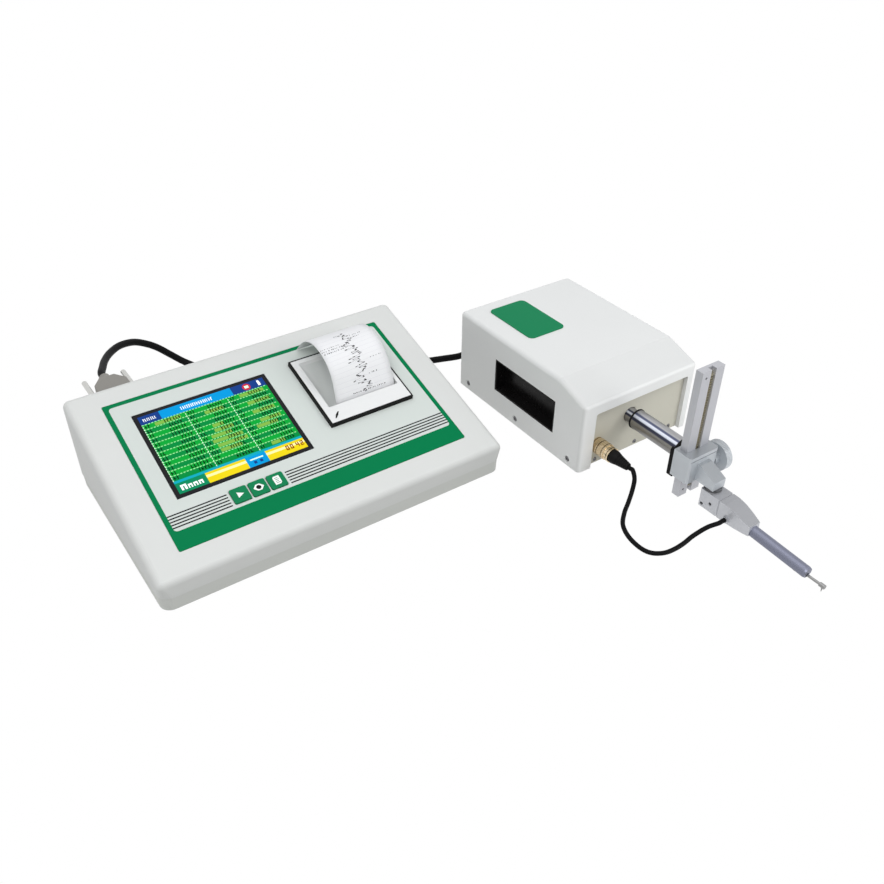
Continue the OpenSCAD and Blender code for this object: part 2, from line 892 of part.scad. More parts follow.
// Plug with its hood, against the console's back
module link_plug() {
    body_w = thumb_pitch - thumb_d - 2;
    tail_w = link_d + 5;
    tail_y = hood_l - relief_l;
    color("darkgray") at_console() translate([socket_x, console_d, socket_z]) {
        difference() {
            translate([-hood_w / 2, 0, hood_h / 2]) rotate([-90, 0, 0]) plate(hood_w, hood_h, 3, plug_flange);
            for (s = [-1, 1]) bar_y(thumb_screw + 2 * gap, hood_l, [s * thumb_pitch / 2, -1, 0]);
        }
        translate([0, 0, -hood_h / 2]) linear_extrude(hood_h) polygon([
            [-body_w / 2, plug_flange - eps], [body_w / 2, plug_flange - eps],
            [body_w / 2, tail_y * 0.7], [tail_w / 2, tail_y],
            [-tail_w / 2, tail_y], [-body_w / 2, tail_y * 0.7]
        ]);
        translate([0, tail_y - eps, 0]) rotate([-90, 0, 0])
            cylinder(d1 = link_d + 4, d2 = link_d + 2, h = relief_l + eps);
        translate([1 + fit - shell_w / 2, -wall, 1 + fit - shell_h / 2])
            cube([shell_w - 2 - 2 * fit, wall + eps, shell_h - 2 - 2 * fit]);
    }
}

module link_screws() {
    shank = wall + socket_depth - 2 + plug_flange;
    color("silver") at_console() for (s = [-1, 1])
        translate([socket_x + s * thumb_pitch / 2, console_d + plug_flange - shank, socket_z]) {
            bar_y(thumb_screw, shank + 1);
            bar_y(thumb_d, thumb_l, [0, shank + gap, 0]);
        }
}

// Mains inlet with the pocket of the power switch beside it
module power_inlet() {
    w = inlet_w + switch_room;
    color("black") at_console() difference() {
        translate([power_x, console_d - inlet_depth, power_z - inlet_h / 2]) difference() {
            union() {
                cube([w, inlet_depth, inlet_h]);
                translate([-3, 0, -3]) cube([w + 6, inlet_depth - wall, inlet_h + 6]);
            }
            translate([2.5, inlet_depth - 12, 2.5]) cube([inlet_w - 5, 13, inlet_h - 5]);
        }
        translate([rocker_x - rocker_w / 2 - gap, console_d - rocker_t - 1, power_z - rocker_h / 2])
            cube([rocker_w + 2 * gap, rocker_t + 2, rocker_h]);
        bar_x(trunnion_d + 2 * fit, rocker_w + 2 * trunnion_l + 2 * gap,
            [rocker_x - rocker_w / 2 - trunnion_l - gap, console_d - rocker_t + 2, power_z]);
    }
}

// Rocker of the power switch on its pivot line
module power_switch() {
    color("dimgray") at_console() translate([rocker_x, console_d - rocker_t, power_z]) {
        rotate([0, 90, 0]) translate([0, 0, -rocker_w / 2]) linear_extrude(rocker_w)
            polygon([[-7, 7.2], [0, 6], [7, 7.8], [6, 0], [-6, 0]]);
        bar_x(trunnion_d, rocker_w + 2 * trunnion_l, [-rocker_w / 2 - trunnion_l, 2, 0]);
    }
}

// Drive unit

// The cover's rounded block, shrunk by the wall for its inside
module cover_block(inset) {
    ball = max(cover_r - inset, inner_r);
    c = inset + ball;
    tops = [[c, cover_z + nose_h - c], [nose_l, roof_z - c], [drive_l - c, roof_z - c]];
    hull() for (x = [c, drive_w - c]) {
        for (p = tops) translate([x, p[0], p[1]]) sphere(ball, $fn = hull_fn);
        for (y = [c, drive_l - c])
            translate([x, y, cover_z - (inset > 0 ? 1 : 0)]) cylinder(r = ball, h = 2, $fn = hull_fn);
    }
}

// Opening of the cover's front, with round upper corners
module front_opening() {
    w = drive_w - rim_w - rim_right;
    h = opening_z - cover_z;
    translate([rim_w, rim_depth + 1, 0]) rotate([90, 0, 0]) linear_extrude(rim_depth + 2)
        translate([0, cover_z - 1]) {
            square([w, h + 1 - opening_r]);
            translate([opening_r, 0]) square([w - 2 * opening_r, h + 1]);
            for (x = [opening_r, w - opening_r]) translate([x, h + 1 - opening_r]) circle(opening_r);
        }
}

module drive_cover() {
    color("white") at_drive() difference() {
        cover_block(0);
        intersection() {
            cover_block(cover_wall);
            translate([0, rim_depth, 0]) cube([drive_w, drive_l, roof_z]);
        }
        front_opening();
        translate([-1, window_y, cover_z + window_z]) cube([cover_wall + 2, window_l, window_h]);
        for (y = cover_screw_ys) {
            bar_x(small_screw + 2 * fit, drive_w + 2, [-1, y, cover_screw_z]);
            bar_x(small_head + 2 * fit, 2 + small_head_h, [-2, y, cover_screw_z]);
            bar_x(small_head + 2 * fit, 2 + small_head_h, [drive_w - small_head_h, y, cover_screw_z]);
        }
        bar_y(gland_d * 0.7 + 2 * fit, 3 * cover_wall, [gland_x, drive_l - 2 * cover_wall, gland_z]);
    }
}

// Folded tray: floor with flanges that take the cover's screws
module drive_base() {
    x0 = cover_wall + fit;
    w = drive_w - 2 * x0;
    l = drive_l - cover_wall - fit - plate_back_y;
    color("tan") at_drive() difference() {
        union() {
            translate([x0, plate_back_y, cover_z]) cube([w, l, base_t]);
            translate([x0, plate_back_y, cover_z]) cube([w, front_flange_t, front_flange_h]);
            for (x = [x0, drive_w - x0 - flange_wall])
                translate([x, plate_back_y, cover_z]) cube([flange_wall, l - 3, flange_h]);
            for (y = cover_screw_ys, x = [x0, drive_w - x0 - flange_wall - 3])
                translate([x, y - 4, cover_z]) cube([flange_wall + 3, 8, flange_h]);
        }
        cover_corner_cuts();
        for (y = cover_screw_ys) bar_x(small_screw + 2 * fit, drive_w, [0, y, cover_screw_z]);
        for (x = front_screw_xs)
            bar_y(small_screw + 2 * fit, plate_t + 2 * front_flange_t, [x, plate_y, front_screw_z]);
    }
}

// Corners of the tray are cut back from the cover's round inner edges
module cover_corner_cuts() {
    cut = 2 * cover_r;
    for (x = [0, drive_w]) translate([x, drive_l, 0]) rotate([0, 0, 45])
        translate([-cut / 2, -cut / 2, 0]) cube([cut, cut, 3 * flange_h]);
}

module cover_screws() {
    color("silver") at_drive() for (y = cover_screw_ys) {
        translate([small_head_h, y, cover_screw_z]) rotate([0, -90, 0])
            pan_screw(small_screw, 8, small_head, small_head_h);
        translate([drive_w - small_head_h, y, cover_screw_z]) rotate([0, 90, 0])
            pan_screw(small_screw, 8, small_head, small_head_h);
    }
}

// Front plate behind the cover's rim, screwed to the tray's front flange
module drive_front() {
    x0 = rim_w - plate_lap;
    x1 = drive_w - rim_right + plate_lap;
    z0 = cover_z + gap;
    color("wheat") at_drive() difference() {
        translate([x0, plate_y + fit, z0]) cube([x1 - x0, plate_t, opening_z + plate_lap - z0]);
        bar_y(rod_d + 2 * rod_room, plate_t + 4, [rod_x, plate_y - 2, rod_z]);
        bar_y(bush_d + 2 * fit, plate_t + 4, [rod_x, plate_y + fit + bush_lip, rod_z]);
        bar_y(jack_d + 2 * fit, plate_t + 4, [jack_x, plate_y - 2, jack_z]);
        for (x = front_screw_xs) bar_y(small_screw + 2 * fit, plate_t + 4, [x, plate_y - 2, front_screw_z]);
    }
}

module front_screws() {
    color("silver") at_drive() for (x = front_screw_xs)
        translate([x, plate_y + fit, front_screw_z]) rotate([90, 0, 0])
            pan_screw(small_screw, front_screw_l, small_head * 0.75, small_head_h / 2);
}

// Deep black tray that lines the window of the cover's left side
module side_window() {
    w = window_l - 2 * fit;
    h = window_h - 2 * fit;
    color("black") at_drive() translate([0, window_y + fit, cover_z + window_z + fit]) difference() {
        union() {
            translate([window_sink, 0, 0]) cube([window_depth, w, h]);
            translate([cover_wall + fit, -pane_lap, -pane_lap])
                cube([pane_flange, w + 2 * pane_lap, h + 2 * pane_lap]);
        }
        translate([-1, window_wall, window_wall])
            cube([window_depth, w - 2 * window_wall, h - 2 * window_wall]);
    }
}

module label_plate() {
    color("green") at_drive() translate([plate_x, drive_l - plate_back - plate_l, 0])
        plate(plate_w, plate_l, plate_corner, plate_sheet, roof_z);
}

// Plain bush with a flange, its flange face at y and its body behind it
module bush(y, flange_y) {
    difference() {
        union() {
            bar_y(bush_d, bush_l, [0, y, rod_z]);
            bar_y(bush_flange, bush_flange_t, [0, flange_y, rod_z]);
        }
        bar_y(rod_d + 2 * fit, bush_l + 8, [0, y - 4, rod_z]);
    }
}

// Two like bushes, in the front plate and in the bearing block
module rod_bushes() {
    color("darkgoldenrod") at_rod() {
        bush(plate_y + fit + bush_lip, plate_y + fit + plate_t);
        bush(support_y, support_y - bush_flange_t);
    }
}

// Bearing block behind the front plate
module rear_support() {
    color("lightsteelblue") at_rod() difference() {
        translate([-18, support_y, floor_z]) cube([support_w, support_t, support_top - floor_z]);
        bar_y(bush_d + 2 * fit, support_t + 2, [0, support_y - 1, rod_z]);
        bar_y(journal_d + 2 * fit, support_t + 2, [lead_x, support_y - 1, rod_z]);
    }
}

module drive_rod() {
    color("silver") at_rod() bar_y(rod_d, rod_back - sleeve_end - 2, [0, sleeve_end + 2, rod_z]);
}

// Bracket on the rod's end that carries the lead screw's nut
module lead_nut() {
    half = rod_d / 2 + 4;
    color("goldenrod") at_rod() difference() {
        translate([-half, rod_back - nut_t, rod_z - half])
            cube([lead_x + half + screw_d / 2 + 5, nut_t, 2 * half]);
        bar_y(rod_d, nut_t + 2, [0, rod_back - nut_t - 1, rod_z]);
        bar_y(screw_d + 2 * fit, nut_t + 2, [lead_x, rod_back - nut_t - 1, rod_z]);
    }
}

module lead_screw() {
    start = support_y + support_t + 0.5;
    color("silver") at_rod() {
        bar_y(screw_d, motor_y - 0.5 - start, [lead_x, start, rod_z]);
        bar_y(journal_d, motor_y + motor_plate - support_y, [lead_x, support_y, rod_z]);
    }
}

// Motor on its upright plate
module drive_motor() {
    half = motor_d / 2 + 1;
    color("gray") at_rod() difference() {
        union() {
            translate([lead_x - half, motor_y, floor_z])
                cube([2 * half, motor_plate, rod_z + half - floor_z]);
            bar_y(motor_d, motor_l, [lead_x, motor_y + motor_plate - eps, rod_z]);
        }
        bar_y(journal_d + 2 * fit, motor_plate + 1.5, [lead_x, motor_y - 1, rod_z]);
    }
}

// Traverse

module rod_sleeve() {
    color("silver") at_rod() difference() {
        bar_y(sleeve_d, sleeve_l + spigot, [0, sleeve_end - spigot, rod_z]);
        bar_y(rod_d, sleeve_l, [0, sleeve_end + 2, rod_z]);
    }
}

module sleeve_ring() {
    color("black") at_rod() difference() {
        bar_y(ring_d, ring_t, [0, -sleeve_gap, rod_z]);
        bar_y(rod_d, ring_t + 2, [0, -sleeve_gap - 1, rod_z]);
    }
}

module column() {
    color("lightsteelblue") at_rod() difference() {
        translate([-column_w / 2, column_front, column_z]) cube([column_w, column_t, column_h]);
        translate([-groove_w / 2, column_front - 1, column_z - 1])
            cube([groove_w, groove_d + 1, column_h + 2]);
        bar_y(sleeve_d, spigot + 1, [0, sleeve_end - spigot, rod_z]);
        for (z = rack_screw_zs) bar_y(rack_screw_d + 2 * fit, column_t, [rack_screw_x, column_front - 1, z]);
    }
}

// Screws on the column's front face, beside the groove
module rack_screws() {
    color("dimgray") at_rod() for (z = rack_screw_zs)
        bar_y(rack_screw_d, column_t - 3, [rack_screw_x, column_front + 0.4, z]);
}

// Rack with straight-sided teeth, one gap level with the pinion
module column_rack() {
    z0 = column_z + rack_margin;
    z1 = column_z + column_h - rack_margin;
    first = ceil((z0 - pinion_z) / rack_pitch);
    last = floor((z1 - pinion_z) / rack_pitch) - 1;
    root_y = rack_tip_y + addendum + dedendum;
    back_y = column_front + groove_d;
    teeth = [for (i = [first:last])
        let(z = pinion_z + (i + 0.5) * rack_pitch)
        each [[root_y, z - 0.27 * rack_pitch], [rack_tip_y, z - 0.1 * rack_pitch],
              [rack_tip_y, z + 0.1 * rack_pitch], [root_y, z + 0.27 * rack_pitch]]];
    color("darkkhaki") at_rod() drive_profile(-groove_w / 2 + fit, groove_w - 2 * fit)
        polygon(concat([[back_y, z0], [root_y, z0]], teeth, [[root_y, z1], [back_y, z1]]));
}

// Carriage that hugs the column, with lips behind it
module carriage() {
    half = column_w / 2 + jaw_t;
    back = sleeve_end + lip_t;
    depth = back - carriage_front;
    color("silver") at_rod() difference() {
        translate([-half, carriage_front, carriage_z])
            linear_extrude(carriage_h) carriage_plan(2 * half, depth);
        translate([-column_w / 2 - fit, column_front - fit, carriage_z - 1])
            cube([column_w + 2 * fit, column_t + 2 * fit, carriage_h + 2]);
        translate([-column_w / 2 + lip_w, sleeve_end - 1, carriage_z - 1])
            cube([column_w - 2 * lip_w, lip_t + 2, carriage_h + 2]);
        bar_x(2 * (pitch_r + addendum + pinion_room), pinion_w + 1,
            [-pinion_w / 2 - 0.5, pinion_y, pinion_z]);
        bar_x(shaft_d + 2 * fit, half + 8, [-7, pinion_y, pinion_z]);
        translate([-half - 1, carriage_front - 1, carriage_z + carriage_h - 4])
            cube([2 * half + 2, 1.6, 0.7]);
    }
}

// Section of the carriage with round front corners
module carriage_plan(w, l) {
    r = carriage_corner;
    translate([r, 0]) square([w - 2 * r, l]);
    translate([0, r]) square([w, l - r]);
    for (x = [r, w - r]) translate([x, r]) circle(r);
}

// Clamp lever: a ring round the sleeve with a bar that hangs down beside it
module clamp_lever() {
    color("black") at_rod() difference() {
        union() {
            bar_y(lever_ring_d, lever_t, [0, lever_y, rod_z]);
            translate([lever_x - lever_w / 2, lever_y, rod_z - lever_down])
                cube([lever_w, lever_t, lever_down + lever_up]);
            for (z = [rod_z - lever_down, rod_z + lever_up]) bar_y(lever_w, lever_t, [lever_x, lever_y, z]);
        }
        bar_y(sleeve_d + 2 * fit, lever_t + 2, [0, lever_y - 1, rod_z]);
    }
}

function gear_points(n, m) = [for (i = [0:n - 1])
    let(a = 360 * i / n, p = 360 / n, ro = n * m / 2 + addendum, ri = n * m / 2 - dedendum)
    each [ri * [cos(a - 0.25 * p), sin(a - 0.25 * p)], ro * [cos(a - 0.09 * p), sin(a - 0.09 * p)],
          ro * [cos(a + 0.09 * p), sin(a + 0.09 * p)], ri * [cos(a + 0.25 * p), sin(a + 0.25 * p)]]];

// Pinion with its shaft, a tooth pointing at the rack
module pinion_shaft() {
    end = column_w / 2 + jaw_t + knob_gap + knob_t - 2;
    color("darkkhaki") at_rod() translate([0, pinion_y, pinion_z]) {
        rotate([90, 0, 90]) translate([0, 0, -pinion_w / 2]) linear_extrude(pinion_w)
            polygon(gear_points(pinion_teeth, tooth_m));
        bar_x(shaft_d, end + 6.5, [-6.5, 0, 0]);
    }
}

// Knurled knob on the pinion's shaft
module height_knob() {
    x = column_w / 2 + jaw_t + knob_gap;
    color("silver") at_rod() translate([x, pinion_y, pinion_z]) rotate([90, 0, 90]) difference() {
        union() {
            linear_extrude(knob_t) difference() {
                circle(d = knob_d);
                for (i = [0:knurls - 1])
                    rotate(360 * i / knurls) translate([knob_d / 2 + knurl_r / 2, 0])
                        circle(knurl_r, $fn = 16);
            }
            translate([0, 0, -knob_gap + 1]) cylinder(d = knob_d * 0.45, h = knob_gap);
        }
        translate([0, 0, -knob_gap]) cylinder(d = shaft_d, h = knob_gap + knob_t - 2);
    }
}

// Pickup

module swivel_arm() {
    color("lightsteelblue") at_rod() difference() {
        drive_profile(-arm_w / 2, arm_w) polygon([
            [carriage_front, arm_z], [carriage_front - arm_l, arm_z],
            [carriage_front - arm_l, arm_z + arm_front_h], [carriage_front - 3, arm_z + arm_back_h],
            [carriage_front, arm_z + arm_back_h]
        ]);
        translate([0, swivel_y, arm_z - 1]) cylinder(d = pin_d + 2 * fit, h = pin_high - arm_z + 1.2);
    }
}

// Pivot pin with the dark disc between the arm and the holder
module swivel_pin() {
    color("dimgray") at_rod() translate([0, swivel_y, 0]) {
        translate([0, 0, pin_low]) cylinder(d = pin_d, h = pin_high - pin_low);
        translate([0, 0, holder_top]) cylinder(d = disc_d, h = disc_t);
    }
}

module pickup_holder() {
    color("silver") at_rod() difference() {
        translate([-holder_w / 2, holder_front, holder_z]) plate(holder_w, holder_l, 1.5, holder_h);
        translate([0, swivel_y, pin_low]) cylinder(d = pin_d, h = holder_h);
        for (p = set_screws) bar_x(set_screw_d, set_screw_l + 2, [-holder_w / 2 - 1, p[0], p[1]]);
        bar_y(4, 8, [0, holder_front - 1, holder_z + holder_h / 2]);
    }
}

module holder_screws() {
    color("dimgray") at_rod() for (p = set_screws) difference() {
        bar_x(set_screw_d, set_screw_l - 0.8, [-holder_w / 2 + 0.8 + 0.2, p[0], p[1]]);
        translate([-holder_w / 2, p[0], p[1]]) rotate([0, 90, 0]) cylinder(d = 1.5, h = 2.2, $fn = 6);
    }
}

// Pickup body: a block with swelling sides and a roof that falls to the tube
module pickup_body() {
    half = holder_w / 2;
    front = body_front_w / 2;
    swell_l = 0.7 * body_l;
    swell_r = (pow(swell_l, 2) + pow(half - front, 2)) / (2 * (half - front));
    color("silver") at_rod() {
        difference() {
            intersection() {
                translate([0, 0, holder_z]) linear_extrude(holder_h) intersection_for (s = [-1, 1])
                    translate([s * (swell_r - half), body_front + swell_l])
                        union() {
                            circle(swell_r);
                            translate([-swell_r, 0]) square([2 * swell_r, body_l]);
                        }
                drive_profile(-half, 2 * half) polygon([
                    [body_back, holder_z], [body_front, holder_z + 0.7],
                    [body_front, holder_z + body_front_h],
                    [body_back - body_l * 0.45, holder_z + holder_h - 1.6],
                    [body_back - body_l * 0.2, holder_z + holder_h], [body_back, holder_z + holder_h]
                ]);
            }
            tube_axis() bar_y(tube_d, tube_seat + 1, [0, -1, 0]);
        }
        bar_x(entry_boss_d, 6, cable_entry);
        bar_y(4, 6, [0, body_back - eps, holder_z + holder_h / 2]);
    }
}

// Axis of the tilted tube: children run along y from the body's front face, the tube at negative y
module tube_axis() {
    translate([0, body_front, tube_z]) rotate([tube_tilt, 0, 0]) children();
}

module pickup_tube() {
    color("lightslategray") at_rod() difference() {
        tube_axis() difference() {
            union() {
                bar_y(tube_d, tube_l + tube_seat - 1.5, [0, 1.5 - tube_l, 0]);
                translate([0, -tube_l, 0]) rotate([-90, 0, 0])
                    cylinder(d1 = tube_d - 2 * nose_bevel, d2 = tube_d, h = 1.5 + eps);
            }
            bar_y(tube_d - 2 * tube_wall, tube_l + tube_seat, [0, nose_wall - tube_l, 0]);
        }
        bar_y(stylus_d + 2 * stylus_room, 3 * nose_wall, [0, nose_y - nose_wall, stylus_z]);
        bar_x(cross_pin_d + 2 * fit, tube_d + 2, [-tube_d / 2 - 1, stylus_pivot_y, stylus_z]);
    }
}

// Stylus arm on its cross pin, with the collar and the downward tip at its end
module stylus_arm() {
    pin_half = sqrt(pow(tube_d / 2, 2) - pow(stylus_drop, 2)) - 0.6;
    color("silver") at_rod() {
        bar_y(stylus_d, stylus_pivot_y - nose_y + stylus_l + 1, [0, nose_y - stylus_l, stylus_z]);
        bar_y(collar_d, collar_l, [0, nose_y - stylus_l, stylus_z]);
        bar_x(cross_pin_d, 2 * pin_half, [-pin_half, stylus_pivot_y, stylus_z]);
        translate([0, nose_y - stylus_l + tip_back, tip_z])
            cylinder(r1 = tip_r, r2 = stylus_d / 2 - 0.1, h = stylus_z - tip_z);
    }
}

// Connectors on the drive

module front_socket() {
    color("gold") at_drive() {
        bar_y(jack_d, plate_t + jack_l, [jack_x, plate_y + fit - 0.5, jack_z]);
        bar_y(jack_nut_d, jack_nut_t, [jack_x, plate_y + fit - jack_nut_t, jack_z]);
    }
}

// Ribbed coupling ring of the pickup's plug
module pickup_plug() {
    ribs = 24;
    y = plate_y + fit - jack_nut_t - ring_l;
    color("gold") at_drive() translate([jack_x, y, jack_z]) rotate([-90, 0, 0]) {
        cylinder(d = boot_d0 + 1.5, h = ring_l * 0.35);
        translate([0, 0, ring_l * 0.3]) linear_extrude(ring_l * 0.7) difference() {
            circle(d = plug_d);
            for (i = [0:ribs - 1])
                rotate(360 * i / ribs) translate([plug_d / 2 + 0.2, 0]) circle(0.6, $fn = 16);
        }
    }
}

module plug_boot() {
    y = plate_y + fit - jack_nut_t - ring_l - boot_l;
    color("black") at_drive() translate([jack_x, y, jack_z]) rotate([-90, 0, 0])
        cylinder(d1 = boot_d1, d2 = boot_d0, h = boot_l);
}

module link_gland() {
    color("black") at_drive() {
        translate([gland_x, drive_l, gland_z]) rotate([-90, 0, 0])
            cylinder(d1 = gland_d, d2 = link_d + 2.5, h = gland_l);
        bar_y(gland_d * 0.7, cover_wall + 3 + eps, [gland_x, drive_l - cover_wall - 3, gland_z]);
    }
}

// Cords

module link_cable() {
    p = smooth_route(link_route, cord_steps);
    color("black") cord(p, link_d, 10, 0, len(p) - 1);
}

// The pickup cable in three lengths, each bent by one joint
module pickup_cord(i) {
    p = smooth_route(pickup_route, cord_steps);
    color("black") cord(p, pickup_cord_d, 8, pickup_split[i], pickup_split[i + 1]);
}

module pickup_cable_a() { pickup_cord(0); }
module pickup_cable_b() { pickup_cord(1); }
module pickup_cable_c() { pickup_cord(2); }

console_top();
console_base();
rubber_feet();
console_screws();
overlay();
screen_window();
screen_module();
main_board();
key_board();
key_left();
key_middle();
key_right();
printer_frame();
printer_face();
print_head();
platen_roller();
paper_roll();
paper_strip();
link_socket();
link_plug();
link_screws();
power_inlet();
power_switch();
drive_base();
drive_cover();
drive_front();
cover_screws();
front_screws();
side_window();
label_plate();
rod_bushes();
rear_support();
drive_rod();
lead_nut();
lead_screw();
drive_motor();
rod_sleeve();
sleeve_ring();
column();
column_rack();
rack_screws();
clamp_lever();
carriage();
pinion_shaft();
height_knob();
swivel_arm();
swivel_pin();
pickup_holder();
holder_screws();
pickup_body();
pickup_tube();
stylus_arm();
front_socket();
pickup_plug();
plug_boot();
link_gland();
link_cable();
pickup_cable_a();
pickup_cable_b();
pickup_cable_c();
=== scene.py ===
import bmesh
import bpy
import math
import random
from mathutils import Matrix, Vector


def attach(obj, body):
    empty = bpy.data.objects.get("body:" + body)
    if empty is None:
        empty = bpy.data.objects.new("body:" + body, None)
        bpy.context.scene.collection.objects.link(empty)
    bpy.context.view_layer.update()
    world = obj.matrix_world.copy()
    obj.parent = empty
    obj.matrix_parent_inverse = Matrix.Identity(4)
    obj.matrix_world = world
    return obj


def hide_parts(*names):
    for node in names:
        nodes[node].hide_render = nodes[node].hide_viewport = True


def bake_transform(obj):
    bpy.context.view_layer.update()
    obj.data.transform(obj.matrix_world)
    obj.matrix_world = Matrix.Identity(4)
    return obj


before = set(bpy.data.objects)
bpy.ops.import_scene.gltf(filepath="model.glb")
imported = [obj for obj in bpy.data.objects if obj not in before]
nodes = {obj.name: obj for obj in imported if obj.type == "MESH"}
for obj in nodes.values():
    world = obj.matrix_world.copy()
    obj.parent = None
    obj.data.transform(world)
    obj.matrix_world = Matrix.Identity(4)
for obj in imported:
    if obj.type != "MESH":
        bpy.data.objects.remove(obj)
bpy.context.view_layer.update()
MM = 0.001
random.seed(4)

# Places and sizes in millimetres, in the axes of the part's source
CONSOLE_X, CONSOLE_Y, FRONT_TOP, CONSOLE_DEPTH = -240.0, 30.65, 29.0, 185.0
SLOPE = math.radians(16.5)
PANEL_U, PANEL_V = 25.0, 21.0
SCREEN = (17.0, 43.0, 131.0, 132.0)
KEY_U, KEY_V, KEY_PITCH = 59.5, 26.5, 15.2
PAPER_U, PAPER_WIDTH, PAPER_THICK = 197.5, 57.0, 0.25
SOCKET_X, SOCKET_Z, HOOD_LENGTH = 46.0, 63.5, 44.0
DRIVE_X, DRIVE_Y, DRIVE_LENGTH = 110.0, -10.35, 174.0
GLAND_X, GLAND_Z, GLAND_LENGTH = 75.0, 21.0, 9.0
ROD_X, ROD_Z = DRIVE_X + 58.0, 40.0
JACK_X, JACK_Y, JACK_Z, BOOT_REACH = 22.0, 4.05, 23.0, 39.0
LINK_THICK, PICKUP_THICK = 6.6, 3.8


def panel_point(u, v, n=0.0):
    """Point of the sloping panel: across, up the slope, out of it. In metres."""
    y = PANEL_V + v
    return Vector((CONSOLE_X + PANEL_U + u,
                   CONSOLE_Y + y * math.cos(SLOPE) - n * math.sin(SLOPE),
                   FRONT_TOP + y * math.sin(SLOPE) + n * math.cos(SLOPE))) * MM


# Camera, fitted to the photograph
def add_camera():
    eye = Vector((-0.33965, -0.4509, 0.48962))
    forward = Vector((0.4621, 0.66, -0.5923)).normalized()
    roll = 0.012
    focal_px, picture_px, sensor = 926.0, 884.0, 36.0
    level = forward.cross(Vector((0, 0, 1))).normalized()
    upright = level.cross(forward)
    right = level * math.cos(roll) + upright * math.sin(roll)
    up = upright * math.cos(roll) - level * math.sin(roll)
    cam = bpy.data.objects.new("camera", bpy.data.cameras.new("camera"))
    bpy.context.scene.collection.objects.link(cam)
    place = Matrix((right, up, -forward)).transposed().to_4x4()
    place.translation = eye
    cam.matrix_world = place
    cam.data.sensor_width = sensor
    cam.data.lens = focal_px / picture_px * sensor
    cam.data.clip_start, cam.data.clip_end = 0.01, 20.0
    bpy.context.scene.camera = cam


add_camera()


# Shader helpers
def math_node(nt, op, a, b=None, c=None):
    n = nt.nodes.new("ShaderNodeMath")
    n.operation = op
    for i, value in enumerate((a, b, c)):
        if value is None:
            continue
        if isinstance(value, (int, float)):
            n.inputs[i].default_value = value
        else:
            nt.links.new(value, n.inputs[i])
    return n.outputs[0]


def times(nt, first, *others):
    """Product of several values."""
    for other in others:
        first = math_node(nt, "MULTIPLY", first, other)
    return first


def between(nt, x, low, high):
    """1 where x lies between low and high."""
    return times(nt, math_node(nt, "GREATER_THAN", x, low), math_node(nt, "LESS_THAN", x, high))


def rise(nt, value, start, end):
    """0 to 1 as the value goes from start to end."""
    n = nt.nodes.new("ShaderNodeMapRange")
    nt.links.new(value, n.inputs["Value"])
    n.inputs["From Min"].default_value = start
    n.inputs["From Max"].default_value = end
    return n.outputs[0]


def axes(nt, kind="Object"):
    """X, Y and Z of one kind of texture coordinates."""
    coords, parts = nt.nodes.new("ShaderNodeTexCoord"), nt.nodes.new("ShaderNodeSeparateXYZ")
    nt.links.new(coords.outputs[kind], parts.inputs[0])
    return parts.outputs


def paint(nt, below, mask, above):
    """Colour above laid over colour below where the mask is 1. Each is a colour or a socket."""
    n = nt.nodes.new("ShaderNodeMix")
    n.data_type = "RGBA"
    nt.links.new(mask, n.inputs["Factor"])
    for name, colour in (("A", below), ("B", above)):
        if isinstance(colour, tuple):
            n.inputs[name].default_value = (*colour, 1)
        else:
            nt.links.new(colour, n.inputs[name])
    return n.outputs["Result"]


def colour_ramp(nt, value, bands):
    """Colour by value, from pairs of place and colour in rising order."""
    n = nt.nodes.new("ShaderNodeValToRGB")
    nt.links.new(value, n.inputs["Fac"])
    steps = n.color_ramp.elements
    for place, _ in bands[1:-1]:
        steps.new(place)
    for step, (place, colour) in zip(steps, bands):
        step.position = place
        step.color = (*colour, 1)
    return n.outputs["Color"]


def toned(colour, share):
    """Colour made darker or lighter."""
    return tuple(share * c for c in colour)


